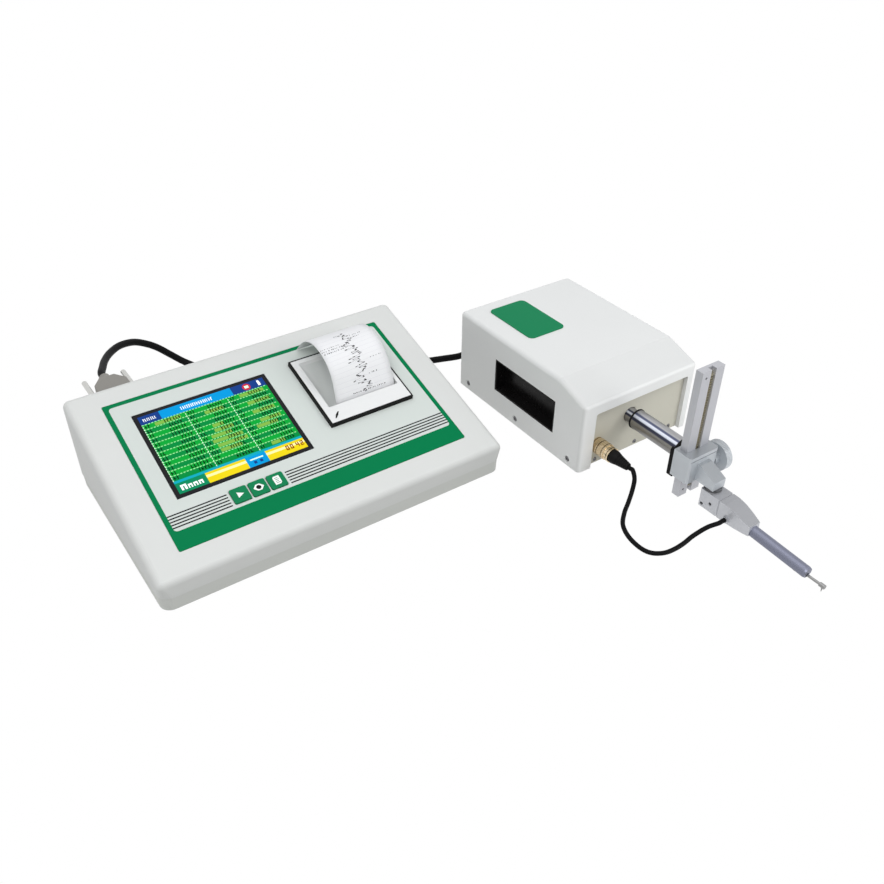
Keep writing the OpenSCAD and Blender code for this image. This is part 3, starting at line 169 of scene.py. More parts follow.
# Shader groups
def grain_group():
    """Mottling and fine relief of a surface, from the piece's own coordinates."""
    g = bpy.data.node_groups.new("surface_grain", "ShaderNodeTree")
    for name, kind, value in (("Colour", "NodeSocketColor", (0.8, 0.8, 0.8, 1)),
                              ("Spread", "NodeSocketFloat", 0.05),
                              ("Scale", "NodeSocketFloat", 900.0),
                              ("Stretch", "NodeSocketVector", (1, 1, 1)),
                              ("Relief", "NodeSocketFloat", 0.1),
                              ("Roughness", "NodeSocketFloat", 0.5)):
        socket = g.interface.new_socket(name, in_out="INPUT", socket_type=kind)
        socket.default_value = value
    for name, kind in (("Colour", "NodeSocketColor"), ("Roughness", "NodeSocketFloat"),
                       ("Normal", "NodeSocketVector")):
        g.interface.new_socket(name, in_out="OUTPUT", socket_type=kind)
    given = g.nodes.new("NodeGroupInput").outputs
    result = g.nodes.new("NodeGroupOutput").inputs
    coords = g.nodes.new("ShaderNodeTexCoord")
    stretch = g.nodes.new("ShaderNodeVectorMath")
    stretch.operation = "MULTIPLY"
    g.links.new(coords.outputs["Object"], stretch.inputs[0])
    g.links.new(given["Stretch"], stretch.inputs[1])
    fine, broad = g.nodes.new("ShaderNodeTexNoise"), g.nodes.new("ShaderNodeTexNoise")
    for noise in (fine, broad):
        g.links.new(stretch.outputs[0], noise.inputs["Vector"])
        noise.inputs["Detail"].default_value = 3.0
    g.links.new(given["Scale"], fine.inputs["Scale"])
    broad.inputs["Scale"].default_value = 22.0
    centred = math_node(g, "SUBTRACT", math_node(g, "ADD", fine.outputs[0], broad.outputs[0]), 1.0)
    tint = g.nodes.new("ShaderNodeVectorMath")
    tint.operation = "SCALE"
    g.links.new(given["Colour"], tint.inputs[0])
    g.links.new(math_node(g, "MULTIPLY_ADD", centred, given["Spread"], 1.0), tint.inputs["Scale"])
    g.links.new(tint.outputs[0], result["Colour"])
    rough = math_node(g, "MULTIPLY_ADD", centred, given["Spread"], given["Roughness"])
    rough.node.use_clamp = True
    g.links.new(rough, result["Roughness"])
    bump = g.nodes.new("ShaderNodeBump")
    bump.inputs["Distance"].default_value = 0.0002
    g.links.new(given["Relief"], bump.inputs["Strength"])
    g.links.new(fine.outputs[0], bump.inputs["Height"])
    g.links.new(bump.outputs[0], result["Normal"])
    return g


def panel_group():
    """Panel coordinates in millimetres: across, up the slope, out of it."""
    g = bpy.data.node_groups.new("panel_coordinates", "ShaderNodeTree")
    for name in ("U", "V", "N"):
        g.interface.new_socket(name, in_out="OUTPUT", socket_type="NodeSocketFloat")
    result = g.nodes.new("NodeGroupOutput").inputs
    x, y, z = axes(g)
    cos, sin = math.cos(SLOPE), math.sin(SLOPE)
    back = math_node(g, "MULTIPLY_ADD", y, 1 / MM, -CONSOLE_Y)
    high = math_node(g, "MULTIPLY_ADD", z, 1 / MM, -FRONT_TOP)
    up_slope = math_node(g, "ADD", times(g, back, cos), math_node(g, "MULTIPLY_ADD", high, sin, -PANEL_V))
    g.links.new(math_node(g, "MULTIPLY_ADD", x, 1 / MM, -CONSOLE_X - PANEL_U), result["U"])
    g.links.new(up_slope, result["V"])
    g.links.new(math_node(g, "SUBTRACT", times(g, high, cos), times(g, back, sin)), result["N"])
    return g


GRAIN = grain_group()
PANEL = panel_group()


def panel_coords(nt):
    g = nt.nodes.new("ShaderNodeGroup")
    g.node_tree = PANEL
    return g.outputs["U"], g.outputs["V"], g.outputs["N"]


def new_material(name):
    m = bpy.data.materials.new(name)
    m.use_nodes = True
    return m, m.node_tree, m.node_tree.nodes["Principled BSDF"]


def surface(name, colour, rough=0.5, metal=0.0, spread=0.05, scale=900.0, stretch=(1, 1, 1), relief=0.12,
            spec=0.5, art=None):
    """Principled material with grain. Art may replace the base colour by a drawing, or by painted shade,
    painted light or painted reflections.
    """
    m, nt, b = new_material(name)
    g = nt.nodes.new("ShaderNodeGroup")
    g.node_tree = GRAIN
    for socket, value in (("Spread", spread), ("Scale", scale), ("Stretch", stretch), ("Relief", relief),
                          ("Roughness", rough), ("Colour", (*colour, 1))):
        g.inputs[socket].default_value = value
    if art:
        nt.links.new(art(nt, colour), g.inputs["Colour"])
    nt.links.new(g.outputs["Colour"], b.inputs["Base Color"])
    nt.links.new(g.outputs["Roughness"], b.inputs["Roughness"])
    nt.links.new(g.outputs["Normal"], b.inputs["Normal"])
    b.inputs["Metallic"].default_value = metal
    b.inputs["Specular IOR Level"].default_value = spec
    return m


# Drawings on the surfaces, and painted shade, painted light and painted reflections
GREEN = (0.0015, 0.185, 0.064)
LINE_BLACK = (0.008, 0.008, 0.008)


def past_span(nt, x, middle, half):
    """How far x lies past the end of a span, 0 inside it."""
    away = math_node(nt, "ABSOLUTE", math_node(nt, "SUBTRACT", x, middle))
    return math_node(nt, "MAXIMUM", math_node(nt, "SUBTRACT", away, half), 0.0)


def overlay_art(nt, base):
    """Green border and front band with round inner corners, and five lines left and right of the keys."""
    left, right, low, high, corner = 3.8, 246.2, 16.7, 146.2, 3.0
    first_line, last_line, pitch, weight = 19.6, 31.8, 2.75, 0.42
    line_ends, keys = (2.8, 247.2), (50.5, 99.0)
    u, v, _ = panel_coords(nt)
    past_u = past_span(nt, u, (left + right) / 2, (right - left) / 2 - corner)
    past_v = past_span(nt, v, (low + high) / 2, (high - low) / 2 - corner)
    away = math_node(nt, "SQRT", math_node(nt, "ADD", times(nt, past_u, past_u), times(nt, past_v, past_v)))
    outside = math_node(nt, "GREATER_THAN", away, corner)
    row = math_node(nt, "FRACT", math_node(nt, "DIVIDE", math_node(nt, "SUBTRACT", v, first_line), pitch))
    lines = times(nt, math_node(nt, "LESS_THAN", row, weight), between(nt, v, first_line, last_line),
                  math_node(nt, "SUBTRACT", 1.0, between(nt, u, *keys)), between(nt, u, *line_ends))
    return paint(nt, paint(nt, base, lines, LINE_BLACK), outside, GREEN)


def well_art(nt, base):
    """The hollow of the printer's face falls into shade from its left edge towards the paper."""
    light, deep = (0.74, 0.75, 0.745), (0.66, 0.68, 0.665)
    well_left, shade_end, well_top = 161.0, 172.0, 2.1
    u, _, n = panel_coords(nt)
    floor = paint(nt, light, rise(nt, u, well_left, shade_end), deep)
    return paint(nt, base, math_node(nt, "LESS_THAN", n, well_top), floor)


def facing(nt, axis, start, end):
    """Mask that grows as one part of the surface's normal (0 X, 1 Y, 2 Z) goes from start to end."""
    return rise(nt, axes(nt, "Normal")[axis], start, end)


def painted_front_shade(nt, base):
    """Painted shade: the upright front wall painted a little darker than the top of the same moulding."""
    return paint(nt, base, facing(nt, 1, -0.4, -0.95), toned(base, 0.83))


def cover_painted_shade_and_light(nt, base):
    """Painted shade and painted light: the sloped front of the cover painted a little darker than its top,
    and its upright rim painted lighter.
    """
    slope = paint(nt, base, facing(nt, 1, -0.03, -0.3), toned(base, 0.92))
    return paint(nt, slope, facing(nt, 1, -0.55, -0.97), toned(base, 1.16))


def painted_top_shade(nt, base):
    """Painted shade: the upper faces of silver parts painted darker than their sides."""
    return paint(nt, base, facing(nt, 2, 0.25, 0.8), toned(base, 0.6))


def ring_art(nt, base):
    """Dark grooves round the plug and its socket."""
    pitch, weight, start = 5.6, 0.13, 20.0
    along = math_node(nt, "MULTIPLY_ADD", axes(nt)[1], 1 / MM, start - DRIVE_Y)
    turn = math_node(nt, "FRACT", math_node(nt, "DIVIDE", along, pitch))
    return paint(nt, base, math_node(nt, "LESS_THAN", turn, weight), (0.10, 0.06, 0.025))


def painted_reflection_bands(nt, base):
    """Painted reflections along the rod and its sleeve: bright and dark bands by the angle round their
    axis.
    """
    x, _, z = axes(nt)
    across = math_node(nt, "SUBTRACT", x, ROD_X * MM)
    up = math_node(nt, "SUBTRACT", z, ROD_Z * MM)
    turn = math_node(nt, "MULTIPLY_ADD", math_node(nt, "ARCTAN2", up, across), 0.5 / math.pi, 0.5)
    return colour_ramp(nt, turn, (
        (0.0, (0.26, 0.25, 0.235)), (0.10, (0.20, 0.20, 0.21)), (0.62, (0.20, 0.20, 0.22)),
        (0.70, (0.33, 0.33, 0.34)), (0.79, (0.40, 0.40, 0.41)), (0.81, (0.06, 0.07, 0.12)),
        (0.835, (0.08, 0.09, 0.15)), (0.85, (0.70, 0.73, 0.82)), (0.88, (0.66, 0.70, 0.79)),
        (0.895, (0.03, 0.035, 0.06)), (0.93, (0.05, 0.05, 0.08)), (0.945, (0.28, 0.27, 0.25))))


# Plastics, films and paper
# Shell and base carry painted shade on their upright fronts, the cover painted shade on its slope and
# painted light on its rim.
SHELL = surface("shell_grey_white", (0.635, 0.647, 0.63), spread=0.03, scale=1400, relief=0.16, spec=0.3,
                art=painted_front_shade)
BASE = surface("base_grey_white", (0.595, 0.61, 0.58), spread=0.03, scale=1400, relief=0.16, spec=0.3,
               art=painted_front_shade)
COVER = surface("cover_white", (0.735, 0.745, 0.735), 0.45, spread=0.03, scale=1100, relief=0.12, spec=0.3,
                art=cover_painted_shade_and_light)
PLATE = surface("plate_beige", (0.60, 0.585, 0.50), scale=1500, relief=0.2, spec=0.3)
BLACK = surface("black_plastic", (0.0085, 0.0085, 0.0085), spread=0.2, scale=1600, relief=0.15, spec=0.07)
FACE = surface("printer_white", (0.74, 0.75, 0.745), 0.4, spread=0.02, scale=1400, relief=0.1, spec=0.15,
               art=well_art)
FILM = surface("overlay_film", (0.60, 0.645, 0.615), 0.4, spread=0.025, scale=2200, relief=0.08, spec=0.03,
               art=overlay_art)
KEY = surface("key_green", (0.002, 0.19, 0.07), 0.4, spread=0.08, scale=1800, relief=0.1, spec=0.1)
PANE = surface("screen_black", (0.004, 0.004, 0.006), 0.25, spread=0.1, scale=300, relief=0.0, spec=0.12)
SMOKE = surface("smoked_window", (0.006, 0.0055, 0.0055), 0.3, spread=0.2, scale=200, relief=0.0, spec=0.12)
LABEL = surface("label_green", (0.004, 0.205, 0.08), 0.42, scale=1500, relief=0.08, spec=0.06)
PAPER = surface("paper", (0.80, 0.805, 0.815), 0.75, spread=0.03, scale=1800, relief=0.2, spec=0.15)
BOARD = surface("board_green", (0.02, 0.12, 0.05), 0.4, spread=0.3, scale=400, relief=0.1)
RUBBER = surface("rubber_black", (0.012, 0.012, 0.012), 0.7, spread=0.2, scale=1200, relief=0.3, spec=0.15)
CABLE = surface("cable_black", (0.004, 0.004, 0.0045), spread=0.2, scale=1500, relief=0.2, spec=0.07)
HOOD = surface("hood_grey", (0.24, 0.23, 0.21), spread=0.06, scale=1300, relief=0.18, spec=0.3)

# Metals
# The rod and its sleeve carry painted reflections.
SLEEVE = surface("polished_sleeve_painted_reflections", (0.6, 0.6, 0.6), 0.34, 0.7, spread=0.1, scale=420, stretch=(1, 0.03, 1),
                 relief=0.03, art=painted_reflection_bands)
STEEL = surface("steel", (0.46, 0.47, 0.49), 0.34, 1.0, spread=0.12, relief=0.1)
STYLUS = surface("stylus_steel", (0.30, 0.30, 0.30), 0.3, 1.0, spread=0.12, relief=0.05)
DARK = surface("dark_steel", (0.16, 0.16, 0.165), 0.4, 1.0, spread=0.15, relief=0.1)
# Silver parts and the pickup carry painted shade on their upper faces.
SILVER = surface("anodised_silver", (0.53, 0.56, 0.59), 0.42, 0.5, spread=0.06, scale=1500,
                 stretch=(1, 1, 0.12), relief=0.1, art=painted_top_shade)
COLUMN = surface("anodised_grey", (0.50, 0.505, 0.535), 0.42, 0.6, spread=0.06, scale=1500,
                 stretch=(1, 1, 0.12), relief=0.1)
PICKUP = surface("pickup_silver", (0.56, 0.57, 0.60), 0.44, 0.5, scale=1700, relief=0.1, art=painted_top_shade)
TUBE = surface("tube_grey", (0.20, 0.21, 0.275), 0.4, 0.8, spread=0.02, scale=600, stretch=(1, 0.06, 1),
               relief=0.0)
BRONZE = surface("bronze", (0.45, 0.30, 0.12), 0.35, 1.0, spread=0.1, relief=0.1)
RACK = surface("rack_brass", (0.50, 0.46, 0.34), 0.4, 0.9, spread=0.12, relief=0.1)
NICKEL = surface("nickel", (0.76, 0.62, 0.42), 0.22, 1.0, spread=0.03, relief=0.0, art=ring_art)
PIN = surface("pin_nickel", (0.60, 0.60, 0.58), 0.28, 1.0, spread=0.1, relief=0.08)

FINISH = {
    SHELL: "console_top",
    BASE: "console_base",
    FILM: "overlay",
    PANE: "screen_window",
    FACE: "printer_face",
    BOARD: "screen_module main_board key_board",
    KEY: "key_left key_middle key_right",
    BLACK: "printer_frame power_inlet power_switch clamp_lever plug_boot link_gland",
    PAPER: "paper_roll paper_strip",
    RUBBER: "rubber_feet platen_roller sleeve_ring",
    HOOD: "link_plug",
    NICKEL: "front_socket pickup_plug",
    PIN: "link_socket link_screws",
    COVER: "drive_cover",
    PLATE: "drive_base drive_front",
    SMOKE: "side_window",
    LABEL: "label_plate",
    BRONZE: "rod_bushes lead_nut",
    SLEEVE: "drive_rod rod_sleeve",
    SILVER: "rear_support carriage swivel_arm height_knob",
    COLUMN: "column",
    RACK: "column_rack",
    PICKUP: "pickup_holder pickup_body",
    TUBE: "pickup_tube",
    STYLUS: "stylus_arm",
    STEEL: "console_screws print_head lead_screw drive_motor pinion_shaft",
    DARK: "cover_screws front_screws rack_screws swivel_pin holder_screws",
    CABLE: "link_cable pickup_cable_a pickup_cable_b pickup_cable_c",
}
for material, names in FINISH.items():
    for name in names.split():
        obj = nodes[name]
        if not obj.material_slots:
            obj.data.materials.append(material)
        for slot in obj.material_slots:
            slot.material = material


# Mesh helpers
def add_object(name, mesh, body, materials):
    obj = bpy.data.objects.new(name, mesh)
    bpy.context.scene.collection.objects.link(obj)
    for m in materials:
        mesh.materials.append(m)
    if body:
        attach(obj, body)
    return obj


def smooth_mesh(name, verts, faces):
    mesh = bpy.data.meshes.new(name)
    mesh.from_pydata([tuple(v) for v in verts], [], faces)
    for face in mesh.polygons:
        face.use_smooth = True
    mesh.update()
    return mesh


def mesh_from(bm, name):
    mesh = bpy.data.meshes.new(name)
    bm.to_mesh(mesh)
    bm.free()
    return mesh


def around(points, i):
    """The four points round the i-th stretch of a line, with its ends repeated."""
    return (Vector(points[min(max(i + k, 0), len(points) - 1)]) for k in (-1, 0, 1, 2))


def bend(a, b, c, d, t):
    """Point between b and c on a smooth curve through four points."""
    return 0.5 * (2 * b + (c - a) * t + (2 * a - 5 * b + 4 * c - d) * t * t
                  + (3 * b - a - 3 * c + d) * t ** 3)


# Cords
def spline(points, steps):
    curve = [bend(*around(points, i), k / steps) for i in range(len(points) - 1) for k in range(steps)]
    return curve + [Vector(points[-1])]


def tube(name, path, thick, first, last, sides=16):
    """Round tube along path[first..last], in metres."""
    verts, faces = [], []
    for i in range(first, last + 1):
        along = (path[min(i + 1, len(path) - 1)] - path[max(i - 1, 0)]).normalized()
        side = along.cross(Vector((0, 0, 1))).normalized()
        up = side.cross(along)
        for k in range(sides):
            a = 2 * math.pi * k / sides
            verts.append(path[i] + (side * math.cos(a) + up * math.sin(a)) * thick / 2)
    rings = last - first
    for i in range(rings):
        for k in range(sides):
            j = (k + 1) % sides
            faces.append((i * sides + k, i * sides + j, (i + 1) * sides + j, (i + 1) * sides + k))
    faces.append(tuple(range(sides))[::-1])
    faces.append(tuple(rings * sides + k for k in range(sides)))
    return smooth_mesh(name, verts, faces)


def add_link_cord():
    """Cord from the plug behind the console, in a loop and over the table, to the drive's gland."""
    start = Vector((CONSOLE_X + SOCKET_X, CONSOLE_Y + CONSOLE_DEPTH + HOOD_LENGTH, SOCKET_Z))
    end = Vector((DRIVE_X + GLAND_X, DRIVE_Y + DRIVE_LENGTH + GLAND_LENGTH, GLAND_Z))
    points = [start + Vector(p) for p in (
        (0, 0, 0), (0, 5, 0), (1, 11, -0.5), (5, 22, -3), (12, 40, -7), (22, 57, -10.5), (35, 71, -14),
        (50, 81, -20), (62, 84, -27), (72, 83, -34), (82, 79, -43), (93, 72, -52),
        (106, 62, -58.5), (120, 50, -60), (142, 30, -60), (176, 8, -60))]
    points += [end + Vector(p) for p in (
        (-165, 63, -17), (-125, 52, -17), (-90, 42, -17), (-65, 34, -17), (-48, 29, -17), (-34, 29, -16),
        (-20, 31, -12), (-7, 27, -5), (0, 15, 0), (0, 7, 0), (0, 0, 0))]
    path = [p * MM for p in spline(points, 6)]
    mesh = tube("link_cord", path, LINK_THICK * MM, 0, len(path) - 1)
    cord = add_object("link_cord", mesh, "frame", [CABLE])
    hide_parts("link_cable")


BOOT_END = Vector((DRIVE_X + JACK_X, DRIVE_Y + JACK_Y - BOOT_REACH, JACK_Z))


def add_pickup_cord():
    """Cord from the plug's boot over the table to the pickup, in three lengths."""
    side, reach, height = 9.5, 116.8, 11.9
    end = Vector((ROD_X - side, DRIVE_Y - reach, height))
    points = [BOOT_END + Vector(p) for p in (
        (0, 0, 0), (0, -2.5, 0), (0, -5, 0), (-2, -10, -5), (-6, -13, -13),
        (-13, -17, -19.5), (-24, -24, -21), (-35, -34, -21), (-41, -47, -21))]
    points += [end + Vector(p) for p in (
        (-69, 21, -9.8), (-66, 12, -9.8), (-58, 6.5, -9.8), (-48, 5, -9.8), (-37, 5.5, -9.6),
        (-27, 6, -7.5), (-16, 3, -2), (-7, 0, 0), (-3.5, 0, 0), (0, 0, 0))]
    steps, stretches = 8, 6
    path = [p * MM for p in spline(points, steps)]
    for k, (tag, near, far) in enumerate((("a", "frame", "traverse"), ("b", "traverse", "carriage"),
                                          ("c", "carriage", "pickup"))):
        first, last = k * stretches * steps, (k + 1) * stretches * steps
        name = "pickup_cord_" + tag
        mesh = tube(name, path, PICKUP_THICK * MM, first, last, 12)
        cord = add_object(name, mesh, None, [CABLE])
        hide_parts("pickup_cable_" + tag)
        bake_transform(cord)


add_link_cord()
add_pickup_cord()


# Flat prints
class Print:
    """Flat patches gathered into one mesh, each in its own ink."""

    def __init__(self):
        self.bm = bmesh.new()
        self.inks = []

    def poly(self, points, ink):
        if ink not in self.inks:
            self.inks.append(ink)
        face = self.bm.faces.new([self.bm.verts.new(p) for p in points])
        face.material_index = self.inks.index(ink)

    def shape(self, u, v, outline, n, ink):
        self.poly([panel_point(u + a, v + b, n) for a, b in outline], ink)

    def rect(self, u0, v0, u1, v1, n, ink):
        self.shape(0, 0, ((u0, v0), (u1, v0), (u1, v1), (u0, v1)), n, ink)

    def disc(self, u, v, r, n, ink, sides=28):
        turns = [2 * math.pi * k / sides for k in range(sides)]
        self.shape(u, v, [(r * math.cos(a), r * math.sin(a)) for a in turns], n, ink)

    def make(self, name, body):
        return add_object(name, mesh_from(self.bm, name), body, self.inks)


def new_ink(name, colour, glow=0.0):
    m = surface(name, colour, 0.4, scale=1500, relief=0.0, spec=0.03)
    b = m.node_tree.nodes["Principled BSDF"]
    b.inputs["Emission Color"].default_value = (*colour, 1)
    b.inputs["Emission Strength"].default_value = glow
    return m


NAVY = new_ink("lcd_navy", (0.008, 0.04, 0.20), 0.25)
SKY = new_ink("lcd_sky", (0.001, 0.25, 0.56), 0.3)
LEAF = new_ink("lcd_leaf", (0.003, 0.29, 0.032), 0.3)
LEAF_DARK = new_ink("lcd_leaf_dark", (0.001, 0.21, 0.04), 0.25)
DASH = new_ink("lcd_dash", (0.26, 0.66, 0.28), 0.3)
OLIVE = new_ink("lcd_olive", (0.19, 0.40, 0.06), 0.2)
PALE = new_ink("lcd_pale", (0.62, 0.85, 0.66), 0.3)
WHITE = new_ink("lcd_white", (0.85, 0.88, 0.88), 0.3)
STROKE = new_ink("lcd_stroke", (0.0, 0.012, 0.003))
AQUA = new_ink("lcd_aqua", (0.005, 0.33, 0.42), 0.2)
TEAL = new_ink("lcd_teal", (0.003, 0.20, 0.085), 0.25)
YELLOW = new_ink("lcd_yellow", (0.66, 0.52, 0.008), 0.3)
CREAM = new_ink("lcd_cream", (0.78, 0.72, 0.33), 0.3)
RED = new_ink("lcd_red", (0.50, 0.02, 0.045), 0.25)
MAROON = new_ink("lcd_maroon", (0.26, 0.008, 0.01), 0.1)
PRINT_WHITE = new_ink("key_white", (0.86, 0.88, 0.86))
PRINT_BLACK = new_ink("print_black", (0.01, 0.01, 0.01))
GRID = new_ink("grid_grey", (0.66, 0.66, 0.69))
TRACE = new_ink("trace_grey", (0.06, 0.06, 0.065))


def strokes(page, u0, u1, v, h, n, colour, weight, wide=1.0):
    """Row of short upright and level strokes, which stands for a word without any letters."""
    u, gap, shortest = u0, 0.55 * wide, 0.8
    while u < u1 - shortest:
        w = random.choice((0.9, 1.1, 1.3)) * wide
        page.rect(u, v - h / 2, u + weight, v + h / 2, n, colour)
        if random.random() < 0.75:
            level = v + random.choice((-0.5, 0.0, 0.5)) * (h - weight)
            page.rect(u, level - weight / 2, min(u + w, u1), level + weight / 2, n, colour)
        u += w + gap


SEGMENTS = {"0": "abcdef", "2": "abged", "4": "fgbc"}


def digit(page, u, v, w, h, t, n, number, colour):
    """Plain seven-segment number, its lower left corner at u, v and its strokes t thick."""
    bars = {"a": (0, h - t, w, h), "g": (0, (h - t) / 2, w, (h + t) / 2), "d": (0, 0, w, t),
            "b": (w - t, h / 2, w, h), "c": (w - t, 0, w, h / 2),
            "f": (0, h / 2, t, h), "e": (0, 0, t, h / 2)}
    for segment in SEGMENTS[number]:
        left, low, right, high = bars[segment]
        page.rect(u + left, v + low, u + right, v + high, n, colour)


# Screen picture: its edges on the panel, and its layers above the pane.
# HEAD and TABLE are the lower edges of those fields, FOOT is the upper edge of its own.
LEFT, LOW = SCREEN[0] + 3.4, SCREEN[1] + 3.4
RIGHT, HIGH = SCREEN[2] - 3.4, SCREEN[3] - 3.2
HEAD, TABLE, FOOT = HIGH - 9.2, LOW + 12.6, LOW + 10.2
GROUND, STRIPE, FIELD, MARK, FRONT = 0.23, 0.245, 0.26, 0.29, 0.32


def draw_head(page):
    """Dark bar with a light title field, a round sign and a battery."""
    middle = (HEAD + HIGH) / 2
    page.rect(LEFT, HEAD, RIGHT, HIGH, GROUND, NAVY)
    page.rect(LEFT + 17, HEAD + 0.4, LEFT + 78, HIGH, FIELD, SKY)
    strokes(page, LEFT + 3, LEFT + 14, middle, 3.0, FIELD, WHITE, 0.55)
    strokes(page, LEFT + 34, LEFT + 61, middle, 3.4, MARK, WHITE, 0.6)
    page.disc(LEFT + 91, middle, 3.5, FIELD, RED)
    page.rect(LEFT + 89.2, HEAD + 3.2, LEFT + 92.8, HEAD + 6.0, MARK, PALE)
    page.rect(LEFT + 101.0, HEAD + 2.2, LEFT + 103.2, HEAD + 7.2, FIELD, WHITE)
    page.rect(LEFT + 101.6, HEAD + 7.2, LEFT + 102.6, HEAD + 8.0, FIELD, WHITE)


def draw_table(page):
    """Green table of twelve rows and three columns, with a short mark and a value in each cell."""
    rows, columns = 12, (LEFT, LEFT + 35.2, LEFT + 71.5, RIGHT)
    filled = (0.2, 0.6, 0.6)
    step = (HEAD - TABLE) / rows
    page.rect(LEFT, TABLE, RIGHT, HEAD, GROUND, LEAF)
    for r in range(rows):
        top = HEAD - r * step
        middle = top - step / 2
        if r % 2:
            page.rect(LEFT, top - step, RIGHT, top, STRIPE, LEAF_DARK)
        u = LEFT
        while u < RIGHT - 1.2:
            page.rect(u, top - 0.42, u + 1.6, top + 0.42, MARK, DASH)
            u += 2.6
        for a, b, share in zip(columns, columns[1:], filled):
            if random.random() < share:
                start = a + random.uniform(7, 14)
                page.rect(start, top - step + 0.9, b - random.uniform(2, 14), top - 0.9, FIELD, OLIVE)
            strokes(page, a + 1.8, a + random.choice((5.4, 6.8)), middle, 3.0, MARK, STROKE, 0.8, 1.4)
            end = b - random.uniform(2, 6)
            strokes(page, end - random.uniform(9, 14), end, middle, 3.0, MARK, STROKE, 0.8, 1.4)
    for u in (LEFT + 0.4, columns[1], columns[2]):
        v = TABLE
        while v < HEAD - 1.0:
            page.rect(u - 0.28, v, u + 0.28, v + 1.5, FRONT, PALE)
            v += 2.5


def draw_foot(page):
    """Row of fields for the keys: white blocks, two yellow values and a sign between them."""
    page.rect(LEFT, FOOT, RIGHT, TABLE, FIELD, AQUA)
    page.rect(LEFT, LOW, LEFT + 24, FOOT, FIELD, TEAL)
    block_low = LOW + 2.4
    for a, w, h in ((3.0, 4.6, 5.2), (8.6, 3.2, 3.8), (12.8, 3.2, 3.8), (17.0, 3.4, 3.8)):
        middle = LEFT + a + w / 2
        page.rect(LEFT + a, block_low, LEFT + a + w, block_low + h, MARK, WHITE)
        page.rect(middle - 0.6, block_low, middle + 0.5, block_low + h - 1.4, FRONT, TEAL)
    for a, b in ((24, 57), (74, 107.2)):
        page.rect(LEFT + a, LOW, LEFT + b, FOOT, FIELD, YELLOW)
        page.rect(LEFT + a, LOW + 5.6, LEFT + b, LOW + 8.0, MARK, CREAM)
    page.rect(LEFT + 57, LOW, LEFT + 74, FOOT, FIELD, SKY)
    page.rect(LEFT + 60, LOW + 6.2, LEFT + 71, LOW + 7.4, MARK, PALE)
    for a in (62, 67):
        page.rect(LEFT + a, LOW + 2.2, LEFT + a + 2.4, LOW + 4.8, MARK, NAVY)
    for a, number in ((90.5, "0"), (94.3, "0"), (99.3, "4"), (103.1, "2")):
        digit(page, LEFT + a, LOW + 3.4, 2.6, 4.6, 0.85, FRONT, number, MAROON)


def add_screen():
    page = Print()
    draw_head(page)
    draw_table(page)
    draw_foot(page)
    page.make("screen_picture", "frame")


# Signs on the keys and the printer. Those on the keys lie just above the caps.
SIGN_TOP = 1.43
ARROW = ((-2.2, -2.7), (3.0, 0), (-2.2, 2.7))
RING = ((-4.4, 0), (-1.6, -3.0), (1.6, -3.0), (4.4, 0), (1.6, 3.0), (-1.6, 3.0))
LEAFLET = ((-2.6, -4.0), (1.8, -4.0), (3.0, -2.6), (3.0, 4.0), (-1.6, 4.0), (-2.6, 2.8))
SLIT = ((-2.6, -3.0), (-1.5, -3.2), (1.4, -0.4), (3.6, 2.6), (2.7, 3.1), (-0.3, 0.6))


def add_key_signs():
    """White signs of the three keys: a start arrow, a view ring and a printed page."""
    over = SIGN_TOP + 0.03
    for i, (key, outline) in enumerate((("left", ARROW), ("middle", RING), ("right", LEAFLET))):
        page = Print()
        u, v = KEY_U + KEY_PITCH * i, KEY_V
        page.shape(u, v, outline, SIGN_TOP, PRINT_WHITE)
        if outline == RING:
            page.disc(u, v, 2.0, over, PRINT_BLACK)
        if outline == LEAFLET:
            for r in range(4):
                low = v - 2.6 + 1.5 * r
                page.rect(u - 1.5, low, u + 1.9 - 0.5 * (r % 2), low + 0.45, over, KEY)
        page.make("key_sign_" + key, "key_" + key)


def add_release():
    """Dark slanted slit at the left of the printer's front bar."""
    u, v, bar_top = 162.5, 63.5, 4.03
    page = Print()
    page.shape(u, v, SLIT, bar_top, PRINT_BLACK)
    page.make("release_slit", "frame")


# Paper: its arch in (v, n) on its left and right edge, from the slot to the far end
ARCH_LEFT = ((73.6, -8), (74.6, 0), (80.4, 12), (87.0, 22.5), (96, 29.4), (108.5, 32), (122.5, 29.4),
             (135.5, 19.4), (145.4, 1.4))
ARCH_RIGHT = ((73.6, -8), (74.6, 0), (81.8, 10.5), (91.5, 20.2), (102, 26), (114, 28), (126.5, 25.4),
              (138, 17), (145.4, 1.4))


def arch_point(t, s):
    """Point of the arch: t runs along it from the slot, s across it from left to right."""
    place = t * (len(ARCH_LEFT) - 1)
    i = min(int(place), len(ARCH_LEFT) - 2)
    left, right = (bend(*around(edge, i), place - i) for edge in (ARCH_LEFT, ARCH_RIGHT))
    return left.lerp(right, s)


def on_paper(t, s, lift):
    """Point at a height over the middle of the paper's thickness."""
    along = arch_point(min(t + 0.01, 1.0), s) - arch_point(max(t - 0.01, 0.0), s)
    p = arch_point(t, s) + Vector((-along.y, along.x)).normalized() * lift
    return panel_point(PAPER_U + PAPER_WIDTH * (s - 0.5), p.x, p.y)


